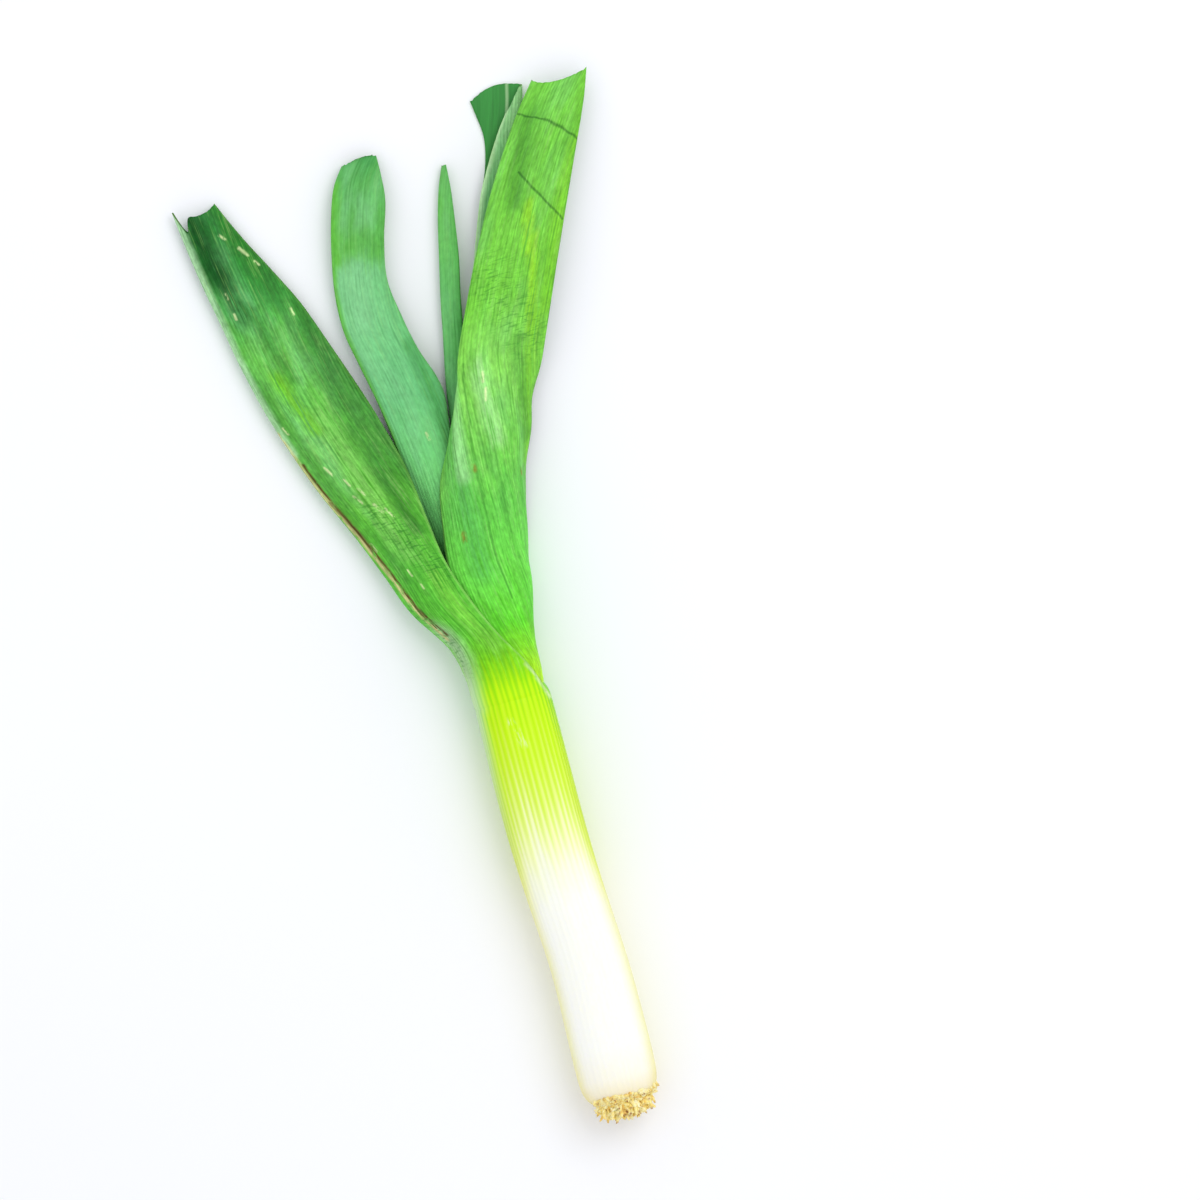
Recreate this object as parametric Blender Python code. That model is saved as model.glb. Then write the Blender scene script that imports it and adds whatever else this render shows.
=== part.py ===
"""A trimmed leek lying on its side, in metres, with +Z up and the leaf tips along +Y.

The white shank is one solid. Five leaves stand in two opposite ranks, odd ones to the left and even ones
to the right, and each is a long blade folded along its keel. Where a blade leaves the shank, its section
is still the round of its sheath. Further out it opens, leans over and lies down on the surface.
"""
import math
import random

import bmesh
import bpy
from mathutils import Matrix, Vector

MM = 0.001

# Driving dimensions, in millimetres. Y counts from the root plate, and Z from the surface.
ORIGIN_Y = 100.0
NODE_GAP = 0.3
BLADE_THICKNESS = 0.8
SHANK_TOP_Y = 186.0
SHANK_BASE_Y = 1.5
SHANK_AXIS_Z = 16.9
TOUCH_CLEARANCE = 0.05
TOUCH_SOFTNESS = 1.2
SMALLEST_ARC = 0.001

# Mesh density.
SHANK_SIDES = 36
BLADE_ROWS = 26
HALF_COLUMNS = 9
SPEAR_ROWS = 20
SPEAR_HALF_COLUMNS = 6
COLUMN_CROWDING = 1.3
ROW_CROWDING = 1.25
CURVE_STEPS = 48

# The shank: distance from the root plate, sideways drift of its middle, radius.
SHANK_STATIONS = (
    (1.5, 1.4, 13.2),
    (2.4, 1.4, 14.6),
    (4.6, 1.4, 16.2),
    (8.5, 1.4, 17.4),
    (14.0, 1.5, 17.9),
    (22.0, 1.7, 18.0),
    (36.0, 2.0, 17.9),
    (54.0, 2.2, 17.6),
    (70.0, 1.8, 17.4),
    (86.0, 0.8, 17.4),
    (104.0, -0.2, 17.5),
    (124.0, -0.8, 17.7),
    (150.0, -0.8, 17.8),
    (170.0, -0.6, 17.6),
    (186.0, -0.5, 17.4),
)
SHANK_ROWS = 24
SHANK_ROW_CROWDING = 1.6

# Each leaf station holds nine values: distance from the root plate, then the keel's X and Z, then the
# upper half's width, its direction beside the keel and its direction at the margin, then the same
# three for the lower half. Directions are in degrees in the plane across the leek: 0 is right, 90 up.
LEAF_1_STATIONS = (
    (186, -17.5, 16.9, 46.6, 90, -67, 50, -90, 80),
    (192, -17.7, 16.9, 43.5, 90, -56, 44, -90, 60),
    (200, -17.9, 16.9, 39.5, 90, -38, 38, -90, 38),
    (215, -21.5, 16.0, 33, 82, -8, 36, -82, 6),
    (235, -34.0, 13.5, 33.8, 66, -4, 34, -70, 8),
    (253, -41.0, 10.0, 33.5, 52, 6, 31, -54, 8),
    (273, -49.0, 8.0, 37, 42, 2, 31, -44, 6),
    (300, -61.0, 6.0, 43.5, 30, -10, 38, -32, 6),
    (333, -72.5, 5.5, 46, 25, -22, 42, -25, 4),
    (361, -79.5, 5.0, 43, 22, -24, 40, -20, 3),
    (383, -83.5, 5.0, 38.5, 14, -22, 36, -18, 3),
    (402, -87.0, 5.0, 32.5, 10, -20, 30, -18, 3),
    (419, -89.5, 4.5, 26, 8, -20, 24, -16, 3),
    (440, -92.0, 4.0, 19, 6, -20, 18, -14, 3),
)
LEAF_2_STATIONS = (
    (186, 14.4, 16.9, 40.5, 90, 246, 40.5, -90, -246),
    (200, 15.7, 18.5, 37, 95, 235, 34, -86, -222),
    (215, 14.5, 24.5, 34, 120, 245, 40, -55, -215),
    (235, 13.0, 28.5, 28, 160, 220, 36, -25, -165),
    (250, 11.5, 29.5, 25.5, 178, 212, 34, -28, -114),
    (272, 12.0, 30.3, 24.5, 186, 226, 33.5, -22, -96),
    (287, 12.0, 30.3, 23, 190, 238, 33.5, -18, -82),
    (302, 12.5, 29.3, 20.5, 186, 274, 35, -12, -64),
    (315, 13.0, 28.0, 12.5, 205, 268, 37, -9, -56),
    (326, 13.5, 26.5, 9, 232, 288, 41, -6, -46),
    (338, 15.5, 24.0, 17, 300, 344, 43, -2, -36),
    (360, 25.0, 20.5, 32, 322, 356, 42, 4, -28),
    (385, 37.0, 17.5, 37, 334, 357, 41, 8, -24),
    (414, 53.0, 13.6, 35, 338, 356, 38, 10, -22),
    (438, 69.0, 11.0, 30, 344, 356, 32.5, 8, -18),
    (452, 80.0, 10.0, 25, 347, 357, 26.5, 6, -16),
)
LEAF_3_STATIONS = (
    (186, -13.7, 16.9, 35, 90, -62, 35, -90, 62),
    (200, -11.1, 16.9, 30.3, 90, -56, 30.3, -90, 56),
    (215, -10.6, 16.2, 29, 90, -56, 29, -90, 56),
    (235, -12.2, 13.6, 29, 78, -30, 27, -78, 30),
    (250, -14.6, 11.0, 28, 68, -14, 24, -66, 16),
    (281, -18.5, 8.0, 26.5, 48, -14, 25, -38, 10),
    (310, -21.5, 6.5, 27.5, 33, -18, 26, -28, 10),
    (329, -24.0, 6.0, 31, 28, -14, 29, -20, 10),
    (349, -28.0, 6.0, 28.5, 20, -16, 27, -18, 10),
    (365, -30.8, 6.0, 28, 16, -16, 26, -16, 10),
    (382, -30.3, 6.5, 25.5, 16, -16, 24, -16, 10),
    (400, -27.0, 7.5, 25.5, 16, -18, 24, -16, 10),
    (417, -22.5, 8.0, 26, 14, -20, 24, -16, 10),
    (429, -18.0, 7.0, 22.5, 10, -22, 21, -16, 8),
    (439, -11.0, 4.5, 15.5, 6, -24, 14, -14, 6),
)
LEAF_4_STATIONS = (
    (186, 11.2, 16.9, 30, 90, 239, 30, -90, -239),
    (200, 11.2, 16.9, 26.5, 90, 236, 26.5, -90, -236),
    (215, 10.6, 16.2, 24, 90, 236, 24, -90, -236),
    (235, 13.2, 13.6, 21, 110, 212, 21, -110, -210),
    (250, 17.0, 11.0, 21, 130, 192, 19.5, -125, -188),
    (281, 25.0, 7.5, 20.5, 145, 190, 20, -150, -187),
    (310, 31.0, 6.0, 20, 150, 188, 20, -155, -186),
    (340, 35.5, 5.0, 20, 155, 184, 20, -158, -184),
    (373, 49.0, 3.8, 19.5, 164, 184, 19.5, -164, -182),
    (407, 61.5, 3.4, 19, 166, 184, 19, -166, -182),
    (420, 65.5, 3.2, 16, 168, 184, 17.5, -166, -184),
    (433, 69.0, 3.2, 11.5, 168, 184, 18, -166, -186),
    (445, 73.0, 3.0, 7, 166, 182, 23, -166, -188),
    (455, 75.5, 3.0, 6, 166, 178, 27, -166, -190),
)
LEAF_5_STATIONS = (
    (186, -10.2, 16.9, 24, 90, -52, 24, -90, 52),
    (200, -8.0, 16.9, 22.4, 90, -56, 22.4, -90, 56),
    (215, -6.6, 16.2, 19.6, 90, -56, 19.6, -90, 56),
    (250, -2.6, 11.5, 13, 60, -40, 13, -60, 40),
    (281, 0.8, 8.0, 10.8, 36, -26, 10.8, -36, 26),
    (310, 4.4, 6.4, 10, 30, -22, 10, -30, 22),
    (330, 7.2, 5.4, 10, 28, -22, 10, -28, 22),
    (350, 11.4, 5.4, 10, 28, -22, 10, -28, 20),
    (368, 15.0, 5.2, 9.8, 28, -22, 9.8, -28, 20),
    (385, 19.0, 5.0, 9.4, 26, -22, 9.2, -26, 20),
    (403, 23.2, 4.4, 7.8, 24, -20, 7.6, -24, 18),
    (416, 27.0, 3.8, 5.6, 20, -20, 5.4, -20, 18),
    (426, 31.0, 3.2, 2.2, 16, -14, 2.2, -16, 12),
)

# Each leaf: its stations, the bend radius of its keel, where the cut meets the keel, the upper margin
# and the lower margin, and how far the cut dips between them.
LEAVES = {
    "leaf_1": (LEAF_1_STATIONS, 2.2, (437.0, 436.0, 429.0), 4.0),
    "leaf_2": (LEAF_2_STATIONS, 2.4, (452.0, 447.0, 451.5), 3.0),
    "leaf_3": (LEAF_3_STATIONS, 1.8, (437.0, 438.0, 439.0), -1.0),
    "leaf_4": (LEAF_4_STATIONS, 2.0, (452.0, 450.0, 451.0), -3.5),
    "leaf_5": (LEAF_5_STATIONS, 1.2, (426.0, 426.0, 426.0), 0.0),
}

# The domed root plate and the trimmed root stubs that stand on it.
PLATE_X = 1.4
PLATE_RADIUS = 12.6
PLATE_DEPTH = 6.0
PLATE_SIDES = 24
PLATE_RINGS = 5
PLATE_TIP_SHARE = 0.985
ROOT_COUNT = 58
ROOT_SIDES = 5
ROOT_RADIUS = 0.85
ROOT_TAPER = 0.65
ROOT_SUNK = 1.0
ROOT_REACH = 5.4
ROOT_SPREAD = 0.97
ROOT_LEAN = 0.5
ROOT_JITTER = 0.14
ROOT_SEED = 7
GOLDEN_ANGLE = math.pi * (3 - math.sqrt(5))

COLOURS = {
    "sheath_white": (0.86, 0.88, 0.66),
    "root_fibre": (0.62, 0.44, 0.2),
    "blade_mid_green": (0.12, 0.4, 0.1),
    "blade_light_green": (0.2, 0.5, 0.09),
    "blade_blue_green": (0.16, 0.45, 0.2),
    "blade_dark_green": (0.05, 0.24, 0.05),
    "blade_pale_green": (0.28, 0.58, 0.3),
}


def clear_scene():
    """Remove every object that the file opened with."""
    for old in list(bpy.data.objects):
        bpy.data.objects.remove(old, do_unlink=True)


def between_stations(stations, y):
    """Smooth values at a distance from the root plate: a cubic through the stations either side."""
    last = len(stations) - 1
    low = 0
    while low < last - 1 and stations[low + 1][0] <= y:
        low += 1
    span = stations[low + 1][0] - stations[low][0]
    s = (y - stations[low][0]) / span
    values = []
    for column in range(1, len(stations[0])):
        ends = []
        for k in (low, low + 1):
            before = stations[max(k - 1, 0)]
            after = stations[min(k + 1, last)]
            ends.append((after[column] - before[column]) / (after[0] - before[0]) * span)
        start = stations[low][column]
        end = stations[low + 1][column]
        rise = start * (2 * s**3 - 3 * s**2 + 1) + end * (3 * s**2 - 2 * s**3)
        values.append(rise + ends[0] * (s**3 - 2 * s**2 + s) + ends[1] * (s**3 - s**2))
    return values


def lifted(z, lowest):
    """Keep a height above the lowest one allowed, easing out instead of cutting off."""
    above = z - lowest
    if above < TOUCH_SOFTNESS:
        above = TOUCH_SOFTNESS * math.exp(above / TOUCH_SOFTNESS - 1)
    return lowest + above


def blade_point(stations, keel_radius, y, across):
    """X and Z of a blade at a distance from the root plate; across runs from -1 to 1, with 0 the keel.

    From the keel the section turns on a small arc to the half's own direction, then evenly to the
    direction at its margin.
    """
    row = between_stations(stations, y)
    keel_x, keel_z = row[0], row[1]
    upper_width, upper_start, upper_end = row[2:5]
    lower_width, lower_start, lower_end = row[5:8]
    keel_direction = (upper_start + lower_start + 180) / 2
    if across >= 0:
        width, start, end = upper_width, upper_start, upper_end
    else:
        width, start, end = lower_width, lower_start, lower_end
        keel_direction -= 180
    arc = max(keel_radius * math.radians(abs(start - keel_direction)), SMALLEST_ARC)
    reach = abs(across)
    step = width * reach / CURVE_STEPS
    x, z = keel_x, keel_z
    for k in range(CURVE_STEPS):
        t = reach * (k + 0.5) / CURVE_STEPS
        turned = min(t * width / arc, 1.0)
        direction = keel_direction + (start - keel_direction) * turned + (end - start) * t
        x += step * math.cos(math.radians(direction))
        z += step * math.sin(math.radians(direction))
    return x, lifted(z, BLADE_THICKNESS / 2 + TOUCH_CLEARANCE)


def make_material(name):
    """A plain Principled material in one colour."""
    material = bpy.data.materials.new(name)
    material.use_nodes = True
    shader = material.node_tree.nodes["Principled BSDF"]
    shader.inputs["Base Color"].default_value = (*COLOURS[name], 1.0)
    shader.inputs["Roughness"].default_value = 0.5
    shader.inputs["Metallic"].default_value = 0.0
    return material


def finish_object(name, bm, material, parent):
    """Turn a bmesh in millimetres into a smooth-shaded object on the parent empty."""
    bmesh.ops.scale(bm, vec=(MM, MM, MM), verts=bm.verts)
    mesh = bpy.data.meshes.new(name)
    bm.to_mesh(mesh)
    bm.free()
    mesh.shade_smooth()
    mesh.materials.append(material)
    made = bpy.data.objects.new(name, mesh)
    bpy.context.scene.collection.objects.link(made)
    made.parent = parent
    return made


def cut_end(cut_at, dip, across):
    """Where a blade is cut off, from its keel out to either margin."""
    keel_y, upper_y, lower_y = cut_at
    margin_y = upper_y if across > 0 else lower_y
    return keel_y + (margin_y - keel_y) * abs(across) - dip * math.sin(math.pi * abs(across))


def make_leaf(name, material, parent, rows=BLADE_ROWS, half_columns=HALF_COLUMNS):
    """One folded blade: a grid laid along its sections, triangulated, then thickened on both sides."""
    stations, keel_radius, cut_at, dip = LEAVES[name]
    first_y = SHANK_TOP_Y + NODE_GAP
    bm = bmesh.new()
    bmesh.ops.create_grid(bm, x_segments=2 * half_columns, y_segments=rows, size=1.0)
    for vert in bm.verts:
        across = math.copysign(abs(vert.co.x) ** COLUMN_CROWDING, vert.co.x)
        along = ((vert.co.y + 1) / 2)**ROW_CROWDING
        last_y = cut_end(cut_at, dip, across)
        y = first_y + along * (last_y - first_y)
        x, z = blade_point(stations, keel_radius, y, across)
        vert.co = (x, y, z)
    bmesh.ops.triangulate(bm, faces=bm.faces)
    bmesh.ops.recalc_face_normals(bm, faces=bm.faces)
    leaf = finish_object(name, bm, material, parent)
    solidify = leaf.modifiers.new("blade_thickness", "SOLIDIFY")
    solidify.thickness = BLADE_THICKNESS * MM
    solidify.offset = 0.0
    solidify.use_even_offset = True
    return leaf


def tube_between(bm, first_y, last_y, sides, cuts):
    """A closed tube of radius 1 along Y, cut into rings at the distances given."""
    middle = (first_y + last_y) / 2
    lie_down = Matrix.Translation((0.0, middle, 0.0)) @ Matrix.Rotation(math.radians(90), 4, "X")
    bmesh.ops.create_cone(bm, cap_ends=True, segments=sides, radius1=1.0, radius2=1.0,
                          depth=last_y - first_y, matrix=lie_down)
    for y in cuts:
        everything = list(bm.verts) + list(bm.edges) + list(bm.faces)
        bmesh.ops.bisect_plane(bm, geom=everything, plane_co=(0.0, y, 0.0), plane_no=(0.0, 1.0, 0.0))


def make_shank(material, parent):
    """The white shank: a tube swelled to its stations, rounded at the root end, flat where it rests."""
    bm = bmesh.new()
    length = SHANK_TOP_Y - SHANK_BASE_Y
    cuts = [SHANK_BASE_Y + length * (k / SHANK_ROWS)**SHANK_ROW_CROWDING for k in range(1, SHANK_ROWS)]
    tube_between(bm, SHANK_BASE_Y, SHANK_TOP_Y, SHANK_SIDES, cuts)
    for vert in bm.verts:
        middle, radius = between_stations(SHANK_STATIONS, vert.co.y)
        height = SHANK_AXIS_Z + radius * vert.co.z
        vert.co = (middle + radius * vert.co.x, vert.co.y, max(height, 0.0))
    return finish_object("shank", bm, material, parent)


def dome_point(polar, turn):
    """A point of the root plate's dome and its outward direction; polar is 0 at the dome's middle."""
    side = math.sin(polar)
    down = math.cos(polar)
    round_about = Vector((math.cos(turn), 0.0, math.sin(turn)))
    rim = Vector((PLATE_X, SHANK_BASE_Y - NODE_GAP, SHANK_AXIS_Z))
    point = rim + round_about * (PLATE_RADIUS * side) + Vector((0.0, -PLATE_DEPTH * down, 0.0))
    outward = round_about * (side / PLATE_RADIUS) + Vector((0.0, -down / PLATE_DEPTH, 0.0))
    return point, outward.normalized()


def make_root_stub(bm, index, draw):
    """One trimmed root: a tapered stub standing on the dome and leaning towards the root end."""
    polar = math.asin(ROOT_SPREAD * math.sqrt((index + 0.5) / ROOT_COUNT))
    turn = index * GOLDEN_ANGLE
    foot, outward = dome_point(polar, turn)
    jitter = Vector([draw.uniform(-ROOT_JITTER, ROOT_JITTER) for _ in range(3)])
    way = (outward + Vector((0.0, -ROOT_LEAN, 0.0)) + jitter).normalized()
    length = ROOT_SUNK + ROOT_REACH * draw.uniform(0.5, 1.0)
    radius = ROOT_RADIUS * draw.uniform(0.8, 1.1)
    middle = foot + way * (length / 2 - ROOT_SUNK)
    place = Matrix.Translation(middle) @ way.to_track_quat("Z", "Y").to_matrix().to_4x4()
    bmesh.ops.create_cone(bm, cap_ends=True, segments=ROOT_SIDES, radius1=radius,
                          radius2=radius * ROOT_TAPER, depth=length, matrix=place)


def make_root_tuft(material, parent):
    """The root plate with its stubs, joined into one body."""
    rim_y = SHANK_BASE_Y - NODE_GAP
    polars = [math.radians(90) * k / PLATE_RINGS for k in range(1, PLATE_RINGS)]
    bm = bmesh.new()
    tip_y = rim_y - PLATE_DEPTH
    tube_between(bm, tip_y, rim_y, PLATE_SIDES, [rim_y - PLATE_DEPTH * math.cos(polar) for polar in polars])
    for vert in bm.verts:
        down = min((rim_y - vert.co.y) / PLATE_DEPTH, PLATE_TIP_SHARE)
        radius = PLATE_RADIUS * math.sqrt(1 - down**2)
        vert.co = (PLATE_X + radius * vert.co.x, vert.co.y, SHANK_AXIS_Z + radius * vert.co.z)
    plate = finish_object("root_tuft", bm, material, parent)
    stubs = bmesh.new()
    draw = random.Random(ROOT_SEED)
    for index in range(ROOT_COUNT):
        make_root_stub(stubs, index, draw)
    cutter = finish_object("root_stubs", stubs, material, parent)
    cutter.hide_render = True
    cutter.display_type = "WIRE"
    union = plate.modifiers.new("join_stubs", "BOOLEAN")
    union.operation = "UNION"
    union.solver = "EXACT"
    union.use_self = True
    union.object = cutter
    return plate


def main():
    """Make the whole leek round an empty that stands at the root plate."""
    clear_scene()
    parent = bpy.data.objects.new("root_plate_centre", None)
    parent.location = (0.0, -ORIGIN_Y * MM, 0.0)
    bpy.context.scene.collection.objects.link(parent)
    make_shank(make_material("sheath_white"), parent)
    make_root_tuft(make_material("root_fibre"), parent)
    make_leaf("leaf_1", make_material("blade_mid_green"), parent)
    make_leaf("leaf_2", make_material("blade_light_green"), parent)
    make_leaf("leaf_3", make_material("blade_blue_green"), parent)
    make_leaf("leaf_4", make_material("blade_dark_green"), parent)
    make_leaf("leaf_5", make_material("blade_pale_green"), parent, SPEAR_ROWS, SPEAR_HALF_COLUMNS)


main()
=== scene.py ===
"""A trimmed leek on a pale table: finely modelled leaves, shank and roots in place of the CAD solids.

The part's own stations are repeated here in millimetres, with Y counted from the root plate and Z from
the table, so every piece keeps its node's form. Veins, colour, scars and crinkles are added on top.
"""

import math
import random

import bmesh
import bpy
from mathutils import Matrix, Vector, noise


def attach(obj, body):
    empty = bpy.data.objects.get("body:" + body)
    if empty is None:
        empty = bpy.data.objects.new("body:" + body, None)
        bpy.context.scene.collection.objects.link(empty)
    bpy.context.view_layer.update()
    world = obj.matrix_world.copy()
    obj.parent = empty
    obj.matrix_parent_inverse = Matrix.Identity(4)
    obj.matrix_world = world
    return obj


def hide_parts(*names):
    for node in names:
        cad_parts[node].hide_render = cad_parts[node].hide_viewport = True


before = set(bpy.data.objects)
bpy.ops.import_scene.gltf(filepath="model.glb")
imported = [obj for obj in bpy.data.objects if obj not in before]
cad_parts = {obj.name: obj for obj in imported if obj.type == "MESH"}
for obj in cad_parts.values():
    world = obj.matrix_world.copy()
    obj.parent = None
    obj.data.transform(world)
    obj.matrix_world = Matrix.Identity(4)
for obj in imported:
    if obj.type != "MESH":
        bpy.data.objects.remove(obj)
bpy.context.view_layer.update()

MM = 0.001

# Dimensions shared with the part, in millimetres.
ORIGIN_Y = 100.0
BLADE_THICKNESS = 0.8
SHANK_TOP_Y = 186.0
SHANK_BASE_Y = 1.5
SHANK_AXIS_Z = 16.9
TOUCH_CLEARANCE = 0.05
TOUCH_SOFTNESS = 1.2
SMALLEST_ARC = 0.001
CURVE_STEPS = 48

# A fine blade is thinner than the part's, which leaves room for its waves inside the part's box.
FINE_THICKNESS = 0.7

# Mesh density of the fine pieces.
BLADE_ROWS = 230
HALF_COLUMNS = 28
SPEAR_HALF_COLUMNS = 16
COLUMN_CROWDING = 1.25
ROW_CROWDING = 1.1
SHANK_COLUMNS = 120
SHANK_ROWS = 160
SHANK_ROW_CROWDING = 1.4
ROOT_SIDES = 8
ROOTLET_SIDES = 6
ROOT_CUTS = 5

# Where the outer leaf grows out of the shank, the two skins cross at a shallow angle to hide the seam:
# the shank's lip bends in, and the leaf's foot is tucked under.
LIP_Y = 190.0
LIP_STARTS = 183.5
LIP_DEPTH = 1.6
TUCK_Y = 184.2
TUCK_DEPTH = 0.5
TUCK_RISE = 1.0
TUCK_LENGTH = 2.4

# The shank's skin lies a little inside the part's and is slightly uneven.
SHANK_INSET = 0.1
SHANK_UNEVENNESS = 0.12
SHANK_LUMPS = 4
SHANK_LUMP_LENGTH = 60.0
MERGE_DISTANCE = 0.0001
SHARP_FROM_DEGREES = 50

# The shank: distance from the root plate, sideways drift of its middle, radius.
SHANK_STATIONS = (
    (1.5, 1.4, 13.2),
    (2.4, 1.4, 14.6),
    (4.6, 1.4, 16.2),
    (8.5, 1.4, 17.4),
    (14.0, 1.5, 17.9),
    (22.0, 1.7, 18.0),
    (36.0, 2.0, 17.9),
    (54.0, 2.2, 17.6),
    (70.0, 1.8, 17.4),
    (86.0, 0.8, 17.4),
    (104.0, -0.2, 17.5),
    (124.0, -0.8, 17.7),
    (150.0, -0.8, 17.8),
    (170.0, -0.6, 17.6),
    (186.0, -0.5, 17.4),
)

# Each leaf station holds nine values: distance from the root plate, then the keel's X and Z, then the
# upper half's width, its direction beside the keel and its direction at the margin, then the same
# three for the lower half. Directions are in degrees in the plane across the leek: 0 is right, 90 up.
LEAF_1_STATIONS = (
    (186, -17.5, 16.9, 46.6, 90, -67, 50, -90, 80),
    (192, -17.7, 16.9, 43.5, 90, -56, 44, -90, 60),
    (200, -17.9, 16.9, 39.5, 90, -38, 38, -90, 38),
    (215, -21.5, 16.0, 33, 82, -8, 36, -82, 6),
    (235, -34.0, 13.5, 33.8, 66, -4, 34, -70, 8),
    (253, -41.0, 10.0, 33.5, 52, 6, 31, -54, 8),
    (273, -49.0, 8.0, 37, 42, 2, 31, -44, 6),
    (300, -61.0, 6.0, 43.5, 30, -10, 38, -32, 6),
    (333, -72.5, 5.5, 46, 25, -22, 42, -25, 4),
    (361, -79.5, 5.0, 43, 22, -24, 40, -20, 3),
    (383, -83.5, 5.0, 38.5, 14, -22, 36, -18, 3),
    (402, -87.0, 5.0, 32.5, 10, -20, 30, -18, 3),
    (419, -89.5, 4.5, 26, 8, -20, 24, -16, 3),
    (440, -92.0, 4.0, 19, 6, -20, 18, -14, 3),
)
LEAF_2_STATIONS = (
    (186, 14.4, 16.9, 40.5, 90, 246, 40.5, -90, -246),
    (200, 15.7, 18.5, 37, 95, 235, 34, -86, -222),
    (215, 14.5, 24.5, 34, 120, 245, 40, -55, -215),
    (235, 13.0, 28.5, 28, 160, 220, 36, -25, -165),
    (250, 11.5, 29.5, 25.5, 178, 212, 34, -28, -114),
    (272, 12.0, 30.3, 24.5, 186, 226, 33.5, -22, -96),
    (287, 12.0, 30.3, 23, 190, 238, 33.5, -18, -82),
    (302, 12.5, 29.3, 20.5, 186, 274, 35, -12, -64),
    (315, 13.0, 28.0, 12.5, 205, 268, 37, -9, -56),
    (326, 13.5, 26.5, 9, 232, 288, 41, -6, -46),
    (338, 15.5, 24.0, 17, 300, 344, 43, -2, -36),
    (360, 25.0, 20.5, 32, 322, 356, 42, 4, -28),
    (385, 37.0, 17.5, 37, 334, 357, 41, 8, -24),
    (414, 53.0, 13.6, 35, 338, 356, 38, 10, -22),
    (438, 69.0, 11.0, 30, 344, 356, 32.5, 8, -18),
    (452, 80.0, 10.0, 25, 347, 357, 26.5, 6, -16),
)
LEAF_3_STATIONS = (
    (186, -13.7, 16.9, 35, 90, -62, 35, -90, 62),
    (200, -11.1, 16.9, 30.3, 90, -56, 30.3, -90, 56),
    (215, -10.6, 16.2, 29, 90, -56, 29, -90, 56),
    (235, -12.2, 13.6, 29, 78, -30, 27, -78, 30),
    (250, -14.6, 11.0, 28, 68, -14, 24, -66, 16),
    (281, -18.5, 8.0, 26.5, 48, -14, 25, -38, 10),
    (310, -21.5, 6.5, 27.5, 33, -18, 26, -28, 10),
    (329, -24.0, 6.0, 31, 28, -14, 29, -20, 10),
    (349, -28.0, 6.0, 28.5, 20, -16, 27, -18, 10),
    (365, -30.8, 6.0, 28, 16, -16, 26, -16, 10),
    (382, -30.3, 6.5, 25.5, 16, -16, 24, -16, 10),
    (400, -27.0, 7.5, 25.5, 16, -18, 24, -16, 10),
    (417, -22.5, 8.0, 26, 14, -20, 24, -16, 10),
    (429, -18.0, 7.0, 22.5, 10, -22, 21, -16, 8),
    (439, -11.0, 4.5, 15.5, 6, -24, 14, -14, 6),
)
LEAF_4_STATIONS = (
    (186, 11.2, 16.9, 30, 90, 239, 30, -90, -239),
    (200, 11.2, 16.9, 26.5, 90, 236, 26.5, -90, -236),
    (215, 10.6, 16.2, 24, 90, 236, 24, -90, -236),
    (235, 13.2, 13.6, 21, 110, 212, 21, -110, -210),
    (250, 17.0, 11.0, 21, 130, 192, 19.5, -125, -188),
    (281, 25.0, 7.5, 20.5, 145, 190, 20, -150, -187),
    (310, 31.0, 6.0, 20, 150, 188, 20, -155, -186),
    (340, 35.5, 5.0, 20, 155, 184, 20, -158, -184),
    (373, 49.0, 3.8, 19.5, 164, 184, 19.5, -164, -182),
    (407, 61.5, 3.4, 19, 166, 184, 19, -166, -182),
    (420, 65.5, 3.2, 16, 168, 184, 17.5, -166, -184),
    (433, 69.0, 3.2, 11.5, 168, 184, 18, -166, -186),
    (445, 73.0, 3.0, 7, 166, 182, 23, -166, -188),
    (455, 75.5, 3.0, 6, 166, 178, 27, -166, -190),
)
LEAF_5_STATIONS = (
    (186, -10.2, 16.9, 24, 90, -52, 24, -90, 52),
    (200, -8.0, 16.9, 22.4, 90, -56, 22.4, -90, 56),
    (215, -6.6, 16.2, 19.6, 90, -56, 19.6, -90, 56),
    (250, -2.6, 11.5, 13, 60, -40, 13, -60, 40),
    (281, 0.8, 8.0, 10.8, 36, -26, 10.8, -36, 26),
    (310, 4.4, 6.4, 10, 30, -22, 10, -30, 22),
    (330, 7.2, 5.4, 10, 28, -22, 10, -28, 22),
    (350, 11.4, 5.4, 10, 28, -22, 10, -28, 20),
    (368, 15.0, 5.2, 9.8, 28, -22, 9.8, -28, 20),
    (385, 19.0, 5.0, 9.4, 26, -22, 9.2, -26, 20),
    (403, 23.2, 4.4, 7.8, 24, -20, 7.6, -24, 18),
    (416, 27.0, 3.8, 5.6, 20, -20, 5.4, -20, 18),
    (426, 31.0, 3.2, 2.2, 16, -14, 2.2, -16, 12),
)

# Each leaf: its stations, the bend radius of its keel, where the cut meets the keel, the upper margin
# and the lower margin, how far the cut dips between them, and the side of the nest its keel is on.
LEFT = 1
RIGHT = -1
LEAVES = {
    "leaf_1": (LEAF_1_STATIONS, 2.2, (437.0, 436.0, 429.0), 4.0, LEFT),
    "leaf_2": (LEAF_2_STATIONS, 2.4, (452.0, 447.0, 451.5), 3.0, RIGHT),
    "leaf_3": (LEAF_3_STATIONS, 1.8, (437.0, 438.0, 439.0), -1.0, LEFT),
    "leaf_4": (LEAF_4_STATIONS, 2.0, (452.0, 450.0, 451.0), -3.5, RIGHT),
    "leaf_5": (LEAF_5_STATIONS, 1.2, (426.0, 426.0, 426.0), 0.0, LEFT),
}

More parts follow.
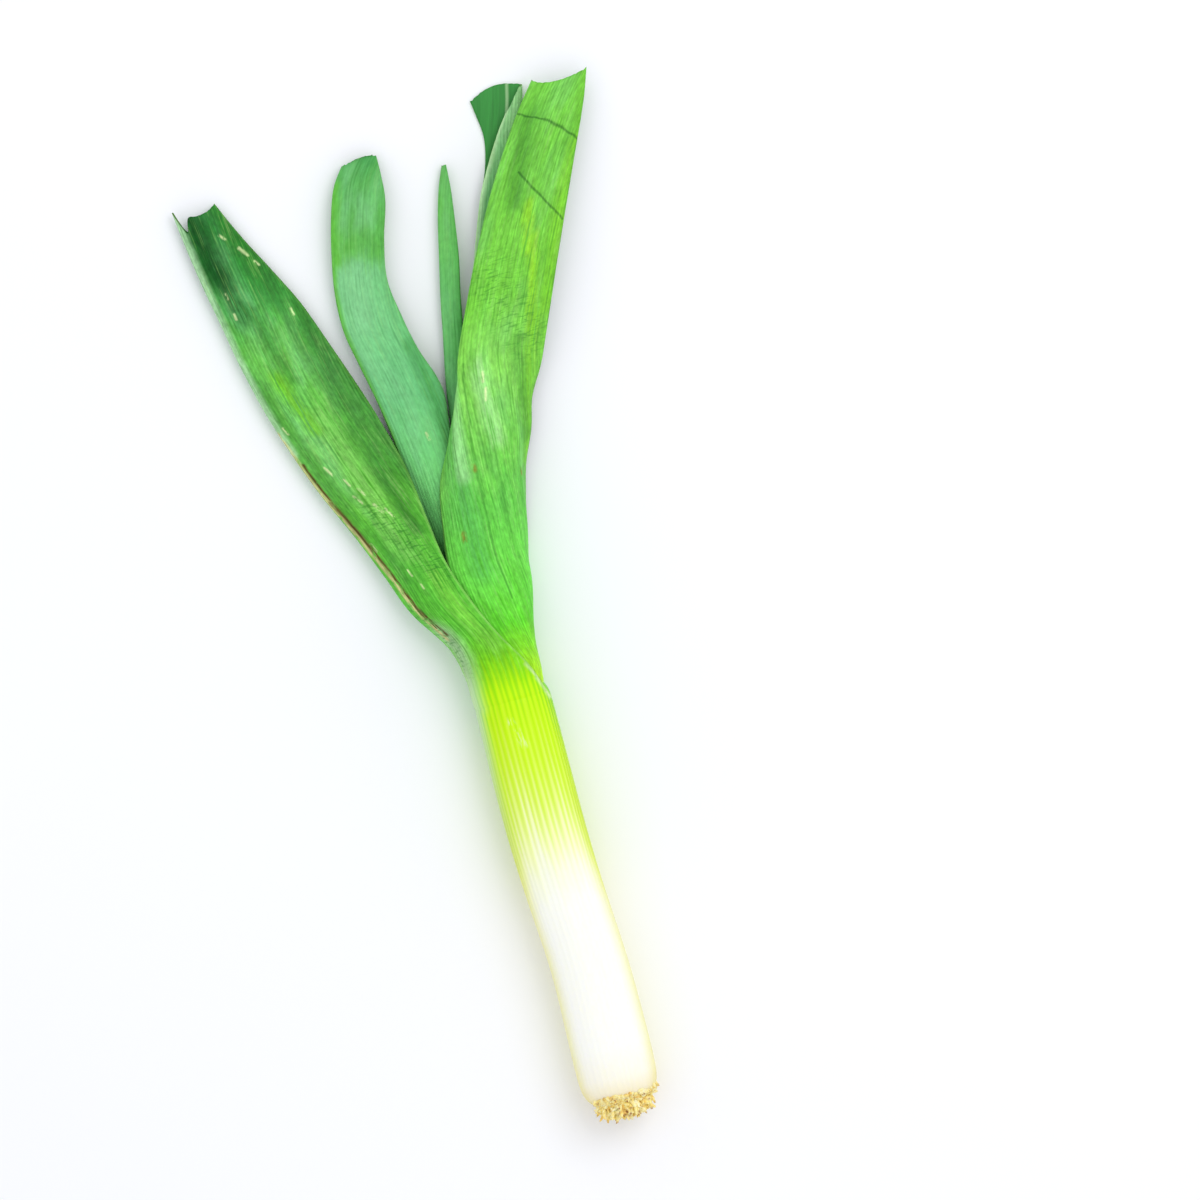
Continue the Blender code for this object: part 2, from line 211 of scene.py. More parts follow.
# The root plate and its stubs, as in the part.
PLATE_X = 1.4
PLATE_RADIUS = 12.6
PLATE_DEPTH = 6.0
PLATE_GAP = 0.3
ROOT_COUNT = 58
ROOT_RADIUS = 0.85
ROOT_TAPER = 0.65
ROOT_SUNK = 1.0
ROOT_REACH = 5.4
ROOT_SPREAD = 0.97
ROOT_LEAN = 0.5
ROOT_JITTER = 0.14
ROOT_SEED = 7
GOLDEN_ANGLE = math.pi * (3 - math.sqrt(5))

# The fine plate and stubs, a little smaller than the part's. Tone, share along and browning are tints.
FINE_PLATE_GAP = 0.05
FINE_PLATE_SHARE = 0.985
PLATE_SIDES = 48
PLATE_UNEVENNESS = 0.05
PLATE_LUMPS = 5
PLATE_TINT = (-0.2, 0.2, 0.0)
ROOT_SHORTENED = 0.93
ROOT_SHORTEST = 0.5
ROOT_GIRTHS = (0.8, 1.1)
ROOT_BEND = 0.3
ROOT_TONES = (-0.35, 0.5)
BROWNING_RARITY = 3

# A root's rings crowd at its cut, which is rounded, and its girth swells and shrinks along it.
RING_STRETCH = 1.12
CUT_GIRTH = 0.55
LUMP_HEIGHT = 0.2
LUMP_TURNS = 9
LUMP_SHIFT = 12

# Rootlets, shorter than the stubs: a thicket over the plate and a fringe round the shank's rim.
ROOTLET_COUNT = 240
ROOTLET_RADIUS = 0.88
ROOTLET_GIRTHS = (0.7, 1.3)
ROOTLET_REACH = (1.2, 3.6)
ROOTLET_TURN = 0.4
ROOTLET_LEAN = 0.15
ROOTLET_JITTER = 0.75
ROOTLET_SEED = 500
RIM_COUNT = 300
RIM_GIRTHS = (0.8, 1.2)
RIM_LENGTHS = (1.6, 2.8)
RIM_WIDTH = 2.6
RIM_CROWDING = 1.5
RIM_OUTWARD = 0.25
RIM_LEAN = 0.6
RIM_JITTER = 0.8
RIM_SEED = 900
RIM_LOWEST_Z = 5.0
RIM_LEAST_X = -11.5


def between_stations(stations, y):
    """Smooth values at a distance from the root plate: a cubic through the stations either side."""
    last = len(stations) - 1
    low = 0
    while low < last - 1 and stations[low + 1][0] <= y:
        low += 1
    span = stations[low + 1][0] - stations[low][0]
    s = (y - stations[low][0]) / span
    values = []
    for column in range(1, len(stations[0])):
        ends = []
        for k in (low, low + 1):
            before = stations[max(k - 1, 0)]
            after = stations[min(k + 1, last)]
            ends.append((after[column] - before[column]) / (after[0] - before[0]) * span)
        start = stations[low][column]
        end = stations[low + 1][column]
        rise = start * (2 * s**3 - 3 * s**2 + 1) + end * (3 * s**2 - 2 * s**3)
        values.append(rise + ends[0] * (s**3 - 2 * s**2 + s) + ends[1] * (s**3 - s**2))
    return values


def lifted(z, lowest):
    """Keep a height above the lowest one allowed, easing out instead of cutting off."""
    above = z - lowest
    if above < TOUCH_SOFTNESS:
        above = TOUCH_SOFTNESS * math.exp(above / TOUCH_SOFTNESS - 1)
    return lowest + above


def blade_point(row, keel_radius, across):
    """X, Z and direction of a blade's section; across runs from -1 to 1, with 0 the keel.

    From the keel the section turns on a small arc to the half's own direction, then evenly to the
    direction at its margin.
    """
    keel_x, keel_z = row[0], row[1]
    upper_width, upper_start, upper_end = row[2:5]
    lower_width, lower_start, lower_end = row[5:8]
    keel_direction = (upper_start + lower_start + 180) / 2
    if across >= 0:
        width, start, end = upper_width, upper_start, upper_end
    else:
        width, start, end = lower_width, lower_start, lower_end
        keel_direction -= 180
    arc = max(keel_radius * math.radians(abs(start - keel_direction)), SMALLEST_ARC)
    reach = abs(across)
    step = width * reach / CURVE_STEPS
    x, z = keel_x, keel_z
    direction = keel_direction
    for k in range(CURVE_STEPS):
        t = reach * (k + 0.5) / CURVE_STEPS
        turned = min(t * width / arc, 1.0)
        direction = keel_direction + (start - keel_direction) * turned + (end - start) * t
        x += step * math.cos(math.radians(direction))
        z += step * math.sin(math.radians(direction))
    return x, z, direction


def cut_end(cut_at, dip, across):
    """Where a blade is cut off, from its keel out to either margin."""
    keel_y, upper_y, lower_y = cut_at
    margin_y = upper_y if across > 0 else lower_y
    return keel_y + (margin_y - keel_y) * abs(across) - dip * math.sin(math.pi * abs(across))


def smooth_step(value, low, high):
    """0 below low and 1 above high, with an even rise between."""
    t = min(max((value - low) / (high - low), 0.0), 1.0)
    return t * t * (3 - 2 * t)


def linear(hex_colour):
    """An sRGB hex colour as linear red, green, blue and alpha."""
    channels = []
    for k in (1, 3, 5):
        value = int(hex_colour[k:k + 2], 16) / 255
        channels.append(value / 12.92 if value <= 0.04045 else ((value + 0.055) / 1.055)**2.4)
    return (*channels, 1.0)


# Kinds of node that the materials use most, and those that mostly go with one setting.
MATH = "ShaderNodeMath"
VECTOR = "ShaderNodeVectorMath"
MIX = "ShaderNodeMix"
RANGE = "ShaderNodeMapRange"
RAMP = "ShaderNodeValToRGB"
NOISE = "ShaderNodeTexNoise"
ADD = (MATH, "operation", "ADD")
MULTIPLY = (MATH, "operation", "MULTIPLY")
MULTIPLY_ADD = (MATH, "operation", "MULTIPLY_ADD")
ABSOLUTE = (MATH, "operation", "ABSOLUTE")
SINE = (MATH, "operation", "SINE")
SCALE = (VECTOR, "operation", "SCALE")
SMOOTH_RANGE = (RANGE, "interpolation_type", "SMOOTHSTEP")
COLOUR_MIX = (MIX, "data_type", "RGBA")


def add_node(tree, kind, inputs=(), output=0, **settings):
    """Add a node with its settings and links, and return one of its outputs, or all when output is None.

    Inputs go by place or by name. Each is another node's output, a plain value or a hex colour.
    """
    if isinstance(kind, tuple):
        kind, setting, choice = kind
        settings[setting] = choice
    node = tree.nodes.new(kind)
    for name, value in settings.items():
        if name == "stops":
            elements = node.color_ramp.elements
            elements.remove(elements[1])
            elements[0].position = value[0][0]
            elements[0].color = linear(value[0][1])
            for position, colour in value[1:]:
                elements.new(position).color = linear(colour)
        else:
            setattr(node, name, value)
    named = inputs.items() if isinstance(inputs, dict) else enumerate(inputs)
    for name, value in named:
        if isinstance(value, bpy.types.NodeSocket):
            tree.links.new(value, node.inputs[name])
        elif isinstance(value, str):
            node.inputs[name].default_value = linear(value)
        else:
            node.inputs[name].default_value = value
    return node.outputs if output is None else node.outputs[output]


def start_material(name):
    """An empty material and its node tree."""
    material = bpy.data.materials.new(name)
    material.use_nodes = True
    material.node_tree.nodes.clear()
    return material, material.node_tree


def close_material(tree, colour, roughness, height, constants):
    """Join colour, roughness and relief to a Principled shader with its constants.

    The relief is in millimetres, and 0.0 leaves the surface smooth.
    """
    normal = add_node(tree, "ShaderNodeBump", {"Height": height, "Distance": MM})
    surface = {"Base Color": colour, "Roughness": roughness, "Normal": normal, **constants}
    shader = add_node(tree, "ShaderNodeBsdfPrincipled", surface)
    add_node(tree, "ShaderNodeOutputMaterial", (shader,), None)


def leaf_coordinates(tree):
    """Where a spot lies: millimetres across from the keel, millimetres from the root plate, share across."""
    place = add_node(tree, "ShaderNodeAttribute", (), "Vector", attribute_name="leaf_place")
    return place, add_node(tree, "ShaderNodeSeparateXYZ", (place,), None)


def grain(tree, place, across_mm, along_mm, seed, detail=2.0):
    """Noise from 0 to 1 whose cells measure the given millimetres across and along."""
    scale = (1 / across_mm, 1 / along_mm, 0.0)
    cells = add_node(tree, VECTOR, (place, scale, (seed, seed * 0.7, seed * 1.3)), operation="MULTIPLY_ADD")
    return add_node(tree, NOISE, {"Vector": cells, "Scale": 1.0, "Detail": detail, "Roughness": 0.55})


def make_stroke_group():
    """A node group that fades from 1 on the line between two places to 0 at its half width."""
    group = bpy.data.node_groups.new("mark_along_line", "ShaderNodeTree")
    for name in ("Place", "Start", "End"):
        group.interface.new_socket(name, in_out="INPUT", socket_type="NodeSocketVector")
    group.interface.new_socket("Half Width", in_out="INPUT", socket_type="NodeSocketFloat")
    group.interface.new_socket("Mark", in_out="OUTPUT", socket_type="NodeSocketFloat")
    given = add_node(group, "NodeGroupInput", (), None)
    flat = add_node(group, VECTOR, (given["Place"], (1.0, 1.0, 0.0)), operation="MULTIPLY")
    reach = add_node(group, VECTOR, (flat, given["Start"]), operation="SUBTRACT")
    line = add_node(group, VECTOR, (given["End"], given["Start"]), operation="SUBTRACT")
    along = add_node(group, VECTOR, (reach, line), "Value", operation="DOT_PRODUCT")
    whole = add_node(group, VECTOR, (line, line), "Value", operation="DOT_PRODUCT")
    share = add_node(group, MATH, (along, whole), operation="DIVIDE", use_clamp=True)
    nearest = add_node(group, SCALE, {0: line, "Scale": share})
    apart = add_node(group, VECTOR, (reach, nearest), "Value", operation="DISTANCE")
    mark = add_node(group, SMOOTH_RANGE, (apart, given["Half Width"], 0.0, 0.0, 1.0))
    add_node(group, "NodeGroupOutput", {"Mark": mark}, None)
    return group


def strokes(tree, group, place, lines):
    """The strongest of several marks; each line is (s, y), (s, y) and a half width in millimetres."""
    strongest = 0.0
    for start, end, half_width in lines:
        ends = {"Place": place, "Start": (*start, 0.0), "End": (*end, 0.0), "Half Width": half_width}
        mark = add_node(tree, "ShaderNodeGroup", ends, node_tree=group)
        strongest = add_node(tree, MATH, (strongest, mark), operation="MAXIMUM")
    return strongest


# Greens of the leaves, a deep green for painted shade in hollows, and the colours of their rims, scars and
# stains.
LIME = "#B4EC1A"
BRIGHT_NECK = "#62D42A"
FRESH_GREEN = "#5AB832"
MID_GREEN = "#50B034"
LIGHT_GREEN = "#68BE4A"
COOL_GREEN = "#4CA64C"
OLIVE_GREEN = "#76CA42"
PALE_BLOOM = "#84CA8C"
DARK_GREEN = "#267420"
HOLLOW_SHADE_GREEN = "#0C5016"
YELLOW_GREEN = "#94D826"
PALE_RIM = "#BADFA6"
SCAR = "#D4E8A4"
TAN = "#D2CC8A"
BROWN = "#5C3E16"
RUST = "#8A7428"

# What each leaf shows. Along gives colours at distances from the root plate. Bloom is a colour and its
# strength. Hem and texture are strengths. Margin is a colour, its strength and the shares across that it
# fades in between; on the first leaf it is a painted shade where the margin turns down from the light.
# Each mark holds how it is broken up, its colour, its strength and its lines. A line has two ends in
# (mm across from the keel, mm from the root plate) and a half width in mm. Crinkles hold a strength and
# lines, and their troughs are darkened with painted shade. Where sheath is set, the leaf's foot looks
# like the shank.
LEAF_LOOKS = {
    "leaf_1": {
        "along": ((196, "#7CD01C"), (205, "#70CC2C"), (216, "#60C434"), (245, "#58BA36"),
                  (285, "#6AC43E"), (315, "#6EC44E"), (360, LIGHT_GREEN), (390, COOL_GREEN),
                  (410, "#349038"), (440, "#248030")),
        "bloom": (PALE_BLOOM, 0.35),
        "hem": 0.35,
        "texture": 1.0,
        # Painted shade: the right margin darkens where it turns down from the light.
        "margin": (DARK_GREEN, 0.7, 0.6, 1.0),
        "marks": (
            # Painted shade in the dark trough beside the keel near the tip.
            ("patchy", HOLLOW_SHADE_GREEN, 1.0, (((6.5, 438), (9.0, 402), 10.0),)),
            ("streaky", HOLLOW_SHADE_GREEN, 0.85, (((9.0, 406), (12.0, 382), 7.5),)),
            # Darker streaks towards the right margin, partly mottling and partly painted shade where it
            # turns down.
            ("streaky", DARK_GREEN, 0.7, (((20.0, 436), (27.0, 388), 9.0), ((16.0, 384), (20.0, 350), 5.0))),
            ("streaky", DARK_GREEN, 0.75, (((36.0, 372), (33.0, 300), 10.0),
                                           ((33.0, 310), (30.0, 272), 7.0))),
            ("streaky", "#3A8A2E", 0.7, (((4.0, 352), (8.0, 292), 7.0), ((6.0, 300), (12.0, 250), 6.0))),
            ("streaky", "#84CC60", 0.7, (((22.0, 330), (20.0, 262), 9.0),)),
            ("streaky", "#88D848", 0.6, (((27.0, 212), (26.0, 248), 7.0),)),
            ("streaky", "#70C814", 0.8, (((14.0, 352), (17.0, 326), 6.0),)),
            ("patchy", "#A0C890", 0.95, (((9.0, 196), (9.0, 222), 11.0),)),
            ("even", "#B8E4B0", 0.85, (((1.2, 318), (1.4, 442), 4.0),)),
            ("worn", SCAR, 0.85, (((17.0, 421.0), (18.8, 418.8), 1.1), ((23.2, 413.4), (25.4, 409.4), 1.3),
                                  ((27.4, 405.8), (28.4, 404.0), 1.0), ((11.0, 308.0), (12.2, 304.0), 1.2),
                                  ((15.5, 300.5), (16.3, 297.5), 1.0), ((14.6, 292.0), (15.8, 288.5), 1.1),
                                  ((18.6, 295.0), (19.6, 291.5), 1.0), ((20.4, 286.0), (21.6, 282.0), 1.2),
                                  ((23.6, 283.0), (24.6, 279.0), 1.0), ((9.0, 395.0), (9.0, 392.5), 1.0),
                                  ((8.6, 385.0), (8.6, 382.5), 1.0), ((33.3, 381.0), (33.3, 378.5), 1.1),
                                  ((6.0, 269.5), (6.2, 266.0), 1.1), ((15.2, 254.0), (15.6, 251.0), 0.9),
                                  ((17.4, 246.0), (17.6, 244.0), 0.9), ((4.5, 330.0), (5.0, 327.0), 1.0))),
            ("broken", TAN, 1.0, (((0.5, 328), (1.6, 296), 2.0), ((1.6, 296), (3.6, 258), 2.3),
                                  ((3.6, 258), (8.0, 220), 2.3))),
            ("broken", BROWN, 1.0, (((2.6, 312), (3.2, 292), 1.2), ((3.0, 292), (4.8, 266), 1.9),
                                    ((4.8, 266), (6.6, 246), 1.3), ((6.6, 246), (10.5, 222), 1.6),
                                    ((5.8, 252), (8.4, 226), 1.1))),
        ),
        "crinkles": (0.62, (((18.0, 283), (28.8, 251), 13.0), ((5.0, 234), (8.0, 204), 9.0))),
        "sheath": True,
    },
    "leaf_2": {
        "along": ((186, LIME), (200, "#84E028"), (214, BRIGHT_NECK), (240, "#6EDC48"), (272, "#66CA48"),
                  (305, "#76CC4E"), (330, "#8CDE58"), (362, "#78CE40"), (398, OLIVE_GREEN),
                  (452, "#78CE46")),
        "bloom": (PALE_BLOOM, 0.22),
        "hem": 0.35,
        "texture": 0.9,
        "margin": ("#74C82E", 0.4, 0.75, 1.0),
        "marks": (
            ("streaky", YELLOW_GREEN, 0.8, (((-21.0, 398), (-26.0, 378), 4.5),
                                            ((-27.0, 384), (-34.0, 345), 4.5))),
            ("streaky", "#7CCA2E", 0.9, (((-36.0, 420), (-40.0, 350), 7.0),
                                         ((-36.0, 350), (-33.0, 290), 8.0))),
            ("streaky", "#58B45C", 0.6, (((10.0, 310), (10.0, 245), 10.0),)),
            ("even", "#ACF09C", 0.7, (((5.0, 336), (8.0, 288), 6.0),)),
            ("streaky", "#A0D88C", 0.7, (((-9.0, 334), (-12.0, 300), 7.0),)),
            ("streaky", "#388428", 0.7, (((-8.0, 436), (-14.0, 402), 9.0),
                                         ((-28.0, 340), (-31.0, 300), 7.0))),
            ("even", DARK_GREEN, 0.45, (((-2.6, 336), (1.2, 295), 1.0), ((1.2, 295), (2.4, 230), 0.9))),
            # Painted shade in the dented creases across the leaf near its cut.
            ("even", HOLLOW_SHADE_GREEN, 0.65, (((-1.0, 438.5), (-16.0, 433.0), 0.6),
                                        ((-16.0, 433.0), (-27.0, 427.5), 0.9),
                                        ((-27.0, 427.5), (-37.0, 421.0), 0.8))),
            ("even", HOLLOW_SHADE_GREEN, 0.65, (((-12.0, 413.0), (-24.0, 402.0), 0.8),
                                        ((-24.0, 402.0), (-40.0, 388.0), 0.8))),
            ("worn", SCAR, 0.9, (((-10.9, 330.5), (-10.3, 326.3), 1.2),
                                 ((-11.0, 323.0), (-9.9, 318.1), 1.1))),
            ("worn", RUST, 0.75, (((2.0, 291.0), (2.0, 289.0), 1.8), ((-24.9, 284.8), (-24.9, 282.5), 1.7),
                                  ((14.3, 262.8), (14.3, 260.3), 2.0))),
        ),
        "crinkles": (0.5, (((-10.0, 372), (-34.0, 340), 17.0),)),
    },
    "leaf_3": {
        "along": ((186, LIME), (215, "#4EAC38"), (255, "#66C860"), (290, "#7CD87C"), (330, "#6CC07A"),
                  (388, "#7CCC84"), (399, "#62B84A"), (425, "#5EB458"), (440, "#4A9E50")),
        "bloom": (PALE_BLOOM, 0.5),
        "hem": 0.2,
        "texture": 0.55,
        "margin": (COOL_GREEN, 0.25, 0.7, 1.0),
        "marks": (
            ("even", PALE_BLOOM, 0.7, (((10.0, 368), (10.0, 390), 11.0),)),
            ("even", "#64C03A", 0.85, (((0.5, 428), (2.5, 396), 5.5), ((1.5, 398), (0.5, 300), 2.6))),
            ("even", "#5AAE46", 0.75, (((15.0, 403), (22.0, 396), 9.0),)),
            ("streaky", "#368E3A", 0.7, (((26.0, 350), (24.0, 262), 6.0),)),
            ("worn", SCAR, 0.8, (((16.4, 311.0), (16.6, 308.0), 1.0),)),
        ),
        "crinkles": (),
    },
    "leaf_4": {
        "along": ((186, LIME), (215, MID_GREEN), (300, COOL_GREEN), (350, "#5AA85C"), (405, "#72B872"),
                  (440, "#94CA88"), (455, "#9CD08C")),
        "bloom": (PALE_BLOOM, 0.4),
        "hem": 0.6,
        "texture": 0.7,
        "margin": ("#C6E6B4", 0.7, 0.8, 1.0),
        "marks": (("even", "#5EA15C", 0.4, (((0.0, 300), (0.0, 420), 8.0),)),),
        "crinkles": (),
    },
    "leaf_5": {
        "along": ((186, LIME), (215, FRESH_GREEN), (300, "#68C868"), (360, "#68BE66"), (405, "#66BA54"),
                  (426, "#56AC3C")),
        "bloom": ("#94D4A0", 0.2),
        "hem": 0.2,
        "texture": 0.5,
        "margin": (COOL_GREEN, 0.35, 0.5, 1.0),
        "marks": (("streaky", "#80CC74", 0.6, (((-2.0, 412), (-4.0, 330), 4.0),)),),
        "crinkles": (),
    },
}

# Real veins are about 1 mm apart. They are drawn coarser here, so that they show in the render.
VEIN_SPACING = 1.5

# The sheath's ribs are about as far apart as they look on the neck. Distances round the shank run from
# its left side over the top to its right. Its colours end this far from the root plate.
STRIPE_SPACING = 2.7
TOP_ARC = 27.3
HALF_ROUND = 54.7
SHEATH_END = 214.0


def leaf_skin(name, look, group, seed):
    """Living leek leaf, outer face: waxy satin green skin over close parallel veins.

    The wax gives a soft weak highlight, the veins fine lengthwise lines, and the bloom bluer patches.
    """
    material, tree = start_material(name)
    place, parts = leaf_coordinates(tree)
    streaks = grain(tree, place, 0.9, 22.0, seed + 3, 3.0)
    fibres = grain(tree, place, 0.55, 60.0, seed + 4)
    broad = grain(tree, place, 4.2, 55.0, seed + 5)
    mottle = grain(tree, place, 1.3, 2.8, seed + 6, 3.0)
    blotches = grain(tree, place, 5.0, 13.0, seed + 7)
    past_neck = add_node(tree, SMOOTH_RANGE, (parts["Y"], 206.0, 240.0))

    # The green along the leaf; its limits wander and follow the streaks.
    first = look["along"][0][0]
    length = look["along"][-1][0] - first
    wander = add_node(tree, MULTIPLY_ADD, (blotches, 36.0, -18.0))
    wander = add_node(tree, MULTIPLY_ADD, (streaks, 16.0, wander))
    wander = add_node(tree, MULTIPLY_ADD, (past_neck, wander, -8.0))
    distance = add_node(tree, ADD, (parts["Y"], wander))
    share = add_node(tree, MULTIPLY_ADD, (distance, 1 / length, -first / length))
    stops = [((y - first) / length, colour) for y, colour in look["along"]]
    colour = add_node(tree, RAMP, (share,), stops=stops)

    # The waxy bloom lies in patches, and the margins have their own tone; on the first leaf this tone is a
    # painted shade, darker where the margin turns down from the light.
    bloom_colour, bloom_strength = look["bloom"]
    patches = grain(tree, place, 12.0, 38.0, seed + 2, 3.0)
    patches = add_node(tree, SMOOTH_RANGE, (patches, 0.42, 0.7, 0.0, bloom_strength))
    free = add_node(tree, SMOOTH_RANGE, (parts["Y"], 240.0, 310.0))
    patches = add_node(tree, MULTIPLY, (patches, free))
    colour = add_node(tree, COLOUR_MIX, {0: patches, 6: colour, 7: bloom_colour}, 2)
    margin_tone_and_shade, margin_strength, margin_from, margin_to = look["margin"]
    across = add_node(tree, ABSOLUTE, (parts["Z"],))
    rim = add_node(tree, SMOOTH_RANGE, (across, margin_from, margin_to, 0.0, margin_strength))
    rim = add_node(tree, MULTIPLY, (rim, free))
    colour = add_node(tree, COLOUR_MIX, {0: rim, 6: colour, 7: margin_tone_and_shade}, 2)

    # Marks: each is drawn along lines and then broken up in its own way.
    ragged = add_node(tree, NOISE, {"Vector": place, "Scale": 0.16, "Detail": 2.0}, "Color")
    shaken = add_node(tree, VECTOR, (ragged, (3.0, 5.0, 0.0), (-1.5, -2.5, 0.0)), operation="MULTIPLY_ADD")
    shaken = add_node(tree, VECTOR, (shaken, place), operation="ADD")
    nudged = add_node(tree, MIX, {0: 0.3, 4: place, 5: shaken}, 1, data_type="VECTOR")
    breaks = {
        "even": 1.0,
        "patchy": add_node(tree, SMOOTH_RANGE, (streaks, 0.18, 0.46)),
        "streaky": add_node(tree, SMOOTH_RANGE, (streaks, 0.28, 0.58)),
        "broken": add_node(tree, SMOOTH_RANGE, (grain(tree, place, 1.6, 5.0, seed + 8, 3.0), 0.3, 0.5)),
        "worn": add_node(tree, SMOOTH_RANGE, (grain(tree, place, 0.9, 2.6, seed + 9, 2.0), 0.34, 0.54)),
    }
    dents = 0.0
    for way, mark_colour, strength, lines in look["marks"]:
        covered = strokes(tree, group, shaken if way in ("streaky", "patchy") else nudged, lines)
        covered = add_node(tree, MULTIPLY, (covered, breaks[way]))
        covered = add_node(tree, MULTIPLY, (covered, strength))
        colour = add_node(tree, COLOUR_MIX, {0: covered, 6: colour, 7: mark_colour}, 2)
        # Painted shade in hollows, where not streaky, is dented too, as are the brown dried lines.
        if mark_colour in (HOLLOW_SHADE_GREEN, BROWN) and way != "streaky":
            dents = add_node(tree, ADD, (dents, covered))

    # Darker and lighter streaks, then the tone of veins and mottling.
    texture = look["texture"]
    dark_streaks_and_crinkle_shade = add_node(tree, SMOOTH_RANGE, (streaks, 0.5, 0.32, 0.0, 0.42 * texture))
    colour = add_node(tree, COLOUR_MIX, {0: dark_streaks_and_crinkle_shade, 6: colour, 7: "#5E9C50"}, 2, blend_type="MULTIPLY")
    light = add_node(tree, SMOOTH_RANGE, (streaks, 0.52, 0.72, 0.0, 0.26 * texture))
    colour = add_node(tree, COLOUR_MIX, {0: light, 6: colour, 7: "#A8E07C"}, 2)
    turns = add_node(tree, MULTIPLY, (fibres, 4.0))
    turns = add_node(tree, MULTIPLY_ADD, (parts["X"], 2 * math.pi / VEIN_SPACING, turns))
    veins = add_node(tree, SINE, (turns,))
    tone = add_node(tree, MULTIPLY_ADD, (veins, 0.05 * texture, 1.0))
    for pattern, amount in ((fibres, 0.3), (broad, 0.65), (mottle, 1.0), (blotches, 0.5)):
        strength = amount * texture
        varied = add_node(tree, MULTIPLY_ADD, (pattern, strength, 1 - strength / 2))
        tone = add_node(tree, MULTIPLY, (tone, varied))
    colour = add_node(tree, SCALE, {0: colour, "Scale": tone})

    height = add_node(tree, MULTIPLY, (veins, 0.04))
    for pattern, depth in ((fibres, 0.12), (streaks, 0.1), (mottle, 0.16), (broad, 0.4), (blotches, 0.3)):
        height = add_node(tree, MULTIPLY_ADD, (pattern, depth * texture, height))
    height = add_node(tree, MULTIPLY_ADD, (dents, -0.25, height))
    if look["crinkles"]:
        strength, lines = look["crinkles"]
        folds = grain(tree, nudged, 5.0, 1.0, seed + 10, 3.0)
        crinkled = strokes(tree, group, shaken, lines)
        depth = add_node(tree, MULTIPLY, (folds, crinkled))
        height = add_node(tree, MULTIPLY_ADD, (depth, 1.2 * strength, height))
        # Painted shade: the crinkles' troughs are darkened.
        dark_streaks_and_crinkle_shade = add_node(tree, SMOOTH_RANGE, (folds, 0.5, 0.36, 0.0, strength))
        dark_streaks_and_crinkle_shade = add_node(tree, MULTIPLY, (dark_streaks_and_crinkle_shade, crinkled))
        colour = add_node(tree, COLOUR_MIX, {0: dark_streaks_and_crinkle_shade, 6: colour, 7: "#2E7E28"}, 2)

    # The outermost leaf's foot is still the shank's own sheath.
    gloss = add_node(tree, MULTIPLY_ADD, (mottle, 0.2, 0.38))
    if look.get("sheath"):
        foot_colour, foot_height, foot_gloss = sheath_colour(tree, group, place, parts)
        grown = add_node(tree, MULTIPLY_ADD, (streaks, 16.0, parts["Y"]))
        grown = add_node(tree, SMOOTH_RANGE, (grown, 198.0, 221.0))
        colour = add_node(tree, COLOUR_MIX, {0: grown, 6: foot_colour, 7: colour}, 2)
        height = add_node(tree, MIX, {0: grown, 2: foot_height, 3: height}, data_type="FLOAT")
        gloss = add_node(tree, MIX, {0: grown, 2: foot_gloss, 3: gloss}, data_type="FLOAT")

    # The upper half's very margin is pale, and less so further along the leaf.
    hem = add_node(tree, SMOOTH_RANGE, (parts["Z"], 0.96, 0.985))
    weight = add_node(tree, SMOOTH_RANGE, (parts["Y"], 240.0, 330.0, look["hem"], look["hem"] * 0.35))
    hem = add_node(tree, MULTIPLY, (hem, weight))
    colour = add_node(tree, COLOUR_MIX, {0: hem, 6: colour, 7: "#A8DC78"}, 2)
    close_material(tree, colour, gloss, height, {"IOR": 1.42, "Specular IOR Level": 0.14})
    return material


def inner_leaf_skin():
    """Living leek leaf, inner face: darker and smoother than the outer one, with a pale rib."""
    material, tree = start_material("leek_inner_leaf")
    place, parts = leaf_coordinates(tree)
    streaks = grain(tree, place, 0.9, 30.0, 71.0, 3.0)
    broad = grain(tree, place, 4.5, 60.0, 72.0)
    stops = [(0.0, "#8CC83C"), (0.35, "#2F8430"), (0.8, "#2C7E2E"), (1.0, "#3C9040")]
    first = 195.0
    length = 260.0
    share = add_node(tree, MULTIPLY_ADD, (parts["Y"], 1 / length, -first / length))
    colour = add_node(tree, RAMP, (share,), stops=stops)
    rib = add_node(tree, ADD, (parts["X"], 8.0))
    rib = add_node(tree, ABSOLUTE, (rib,))
    rib = add_node(tree, SMOOTH_RANGE, (rib, 1.2, 0.2, 0.0, 0.55))
    colour = add_node(tree, COLOUR_MIX, {0: rib, 6: colour, 7: PALE_RIM}, 2)
    tone = add_node(tree, MULTIPLY_ADD, (streaks, 0.6, 0.7))
    varied = add_node(tree, MULTIPLY_ADD, (broad, 0.6, 0.7))
    tone = add_node(tree, MULTIPLY, (tone, varied))
    colour = add_node(tree, SCALE, {0: colour, "Scale": tone})
    height = add_node(tree, MULTIPLY, (streaks, 0.15))
    height = add_node(tree, MULTIPLY_ADD, (broad, 0.4, height))
    gloss = add_node(tree, MULTIPLY_ADD, (streaks, 0.15, 0.35))
    close_material(tree, colour, gloss, height, {"IOR": 1.42, "Specular IOR Level": 0.24})
    return material


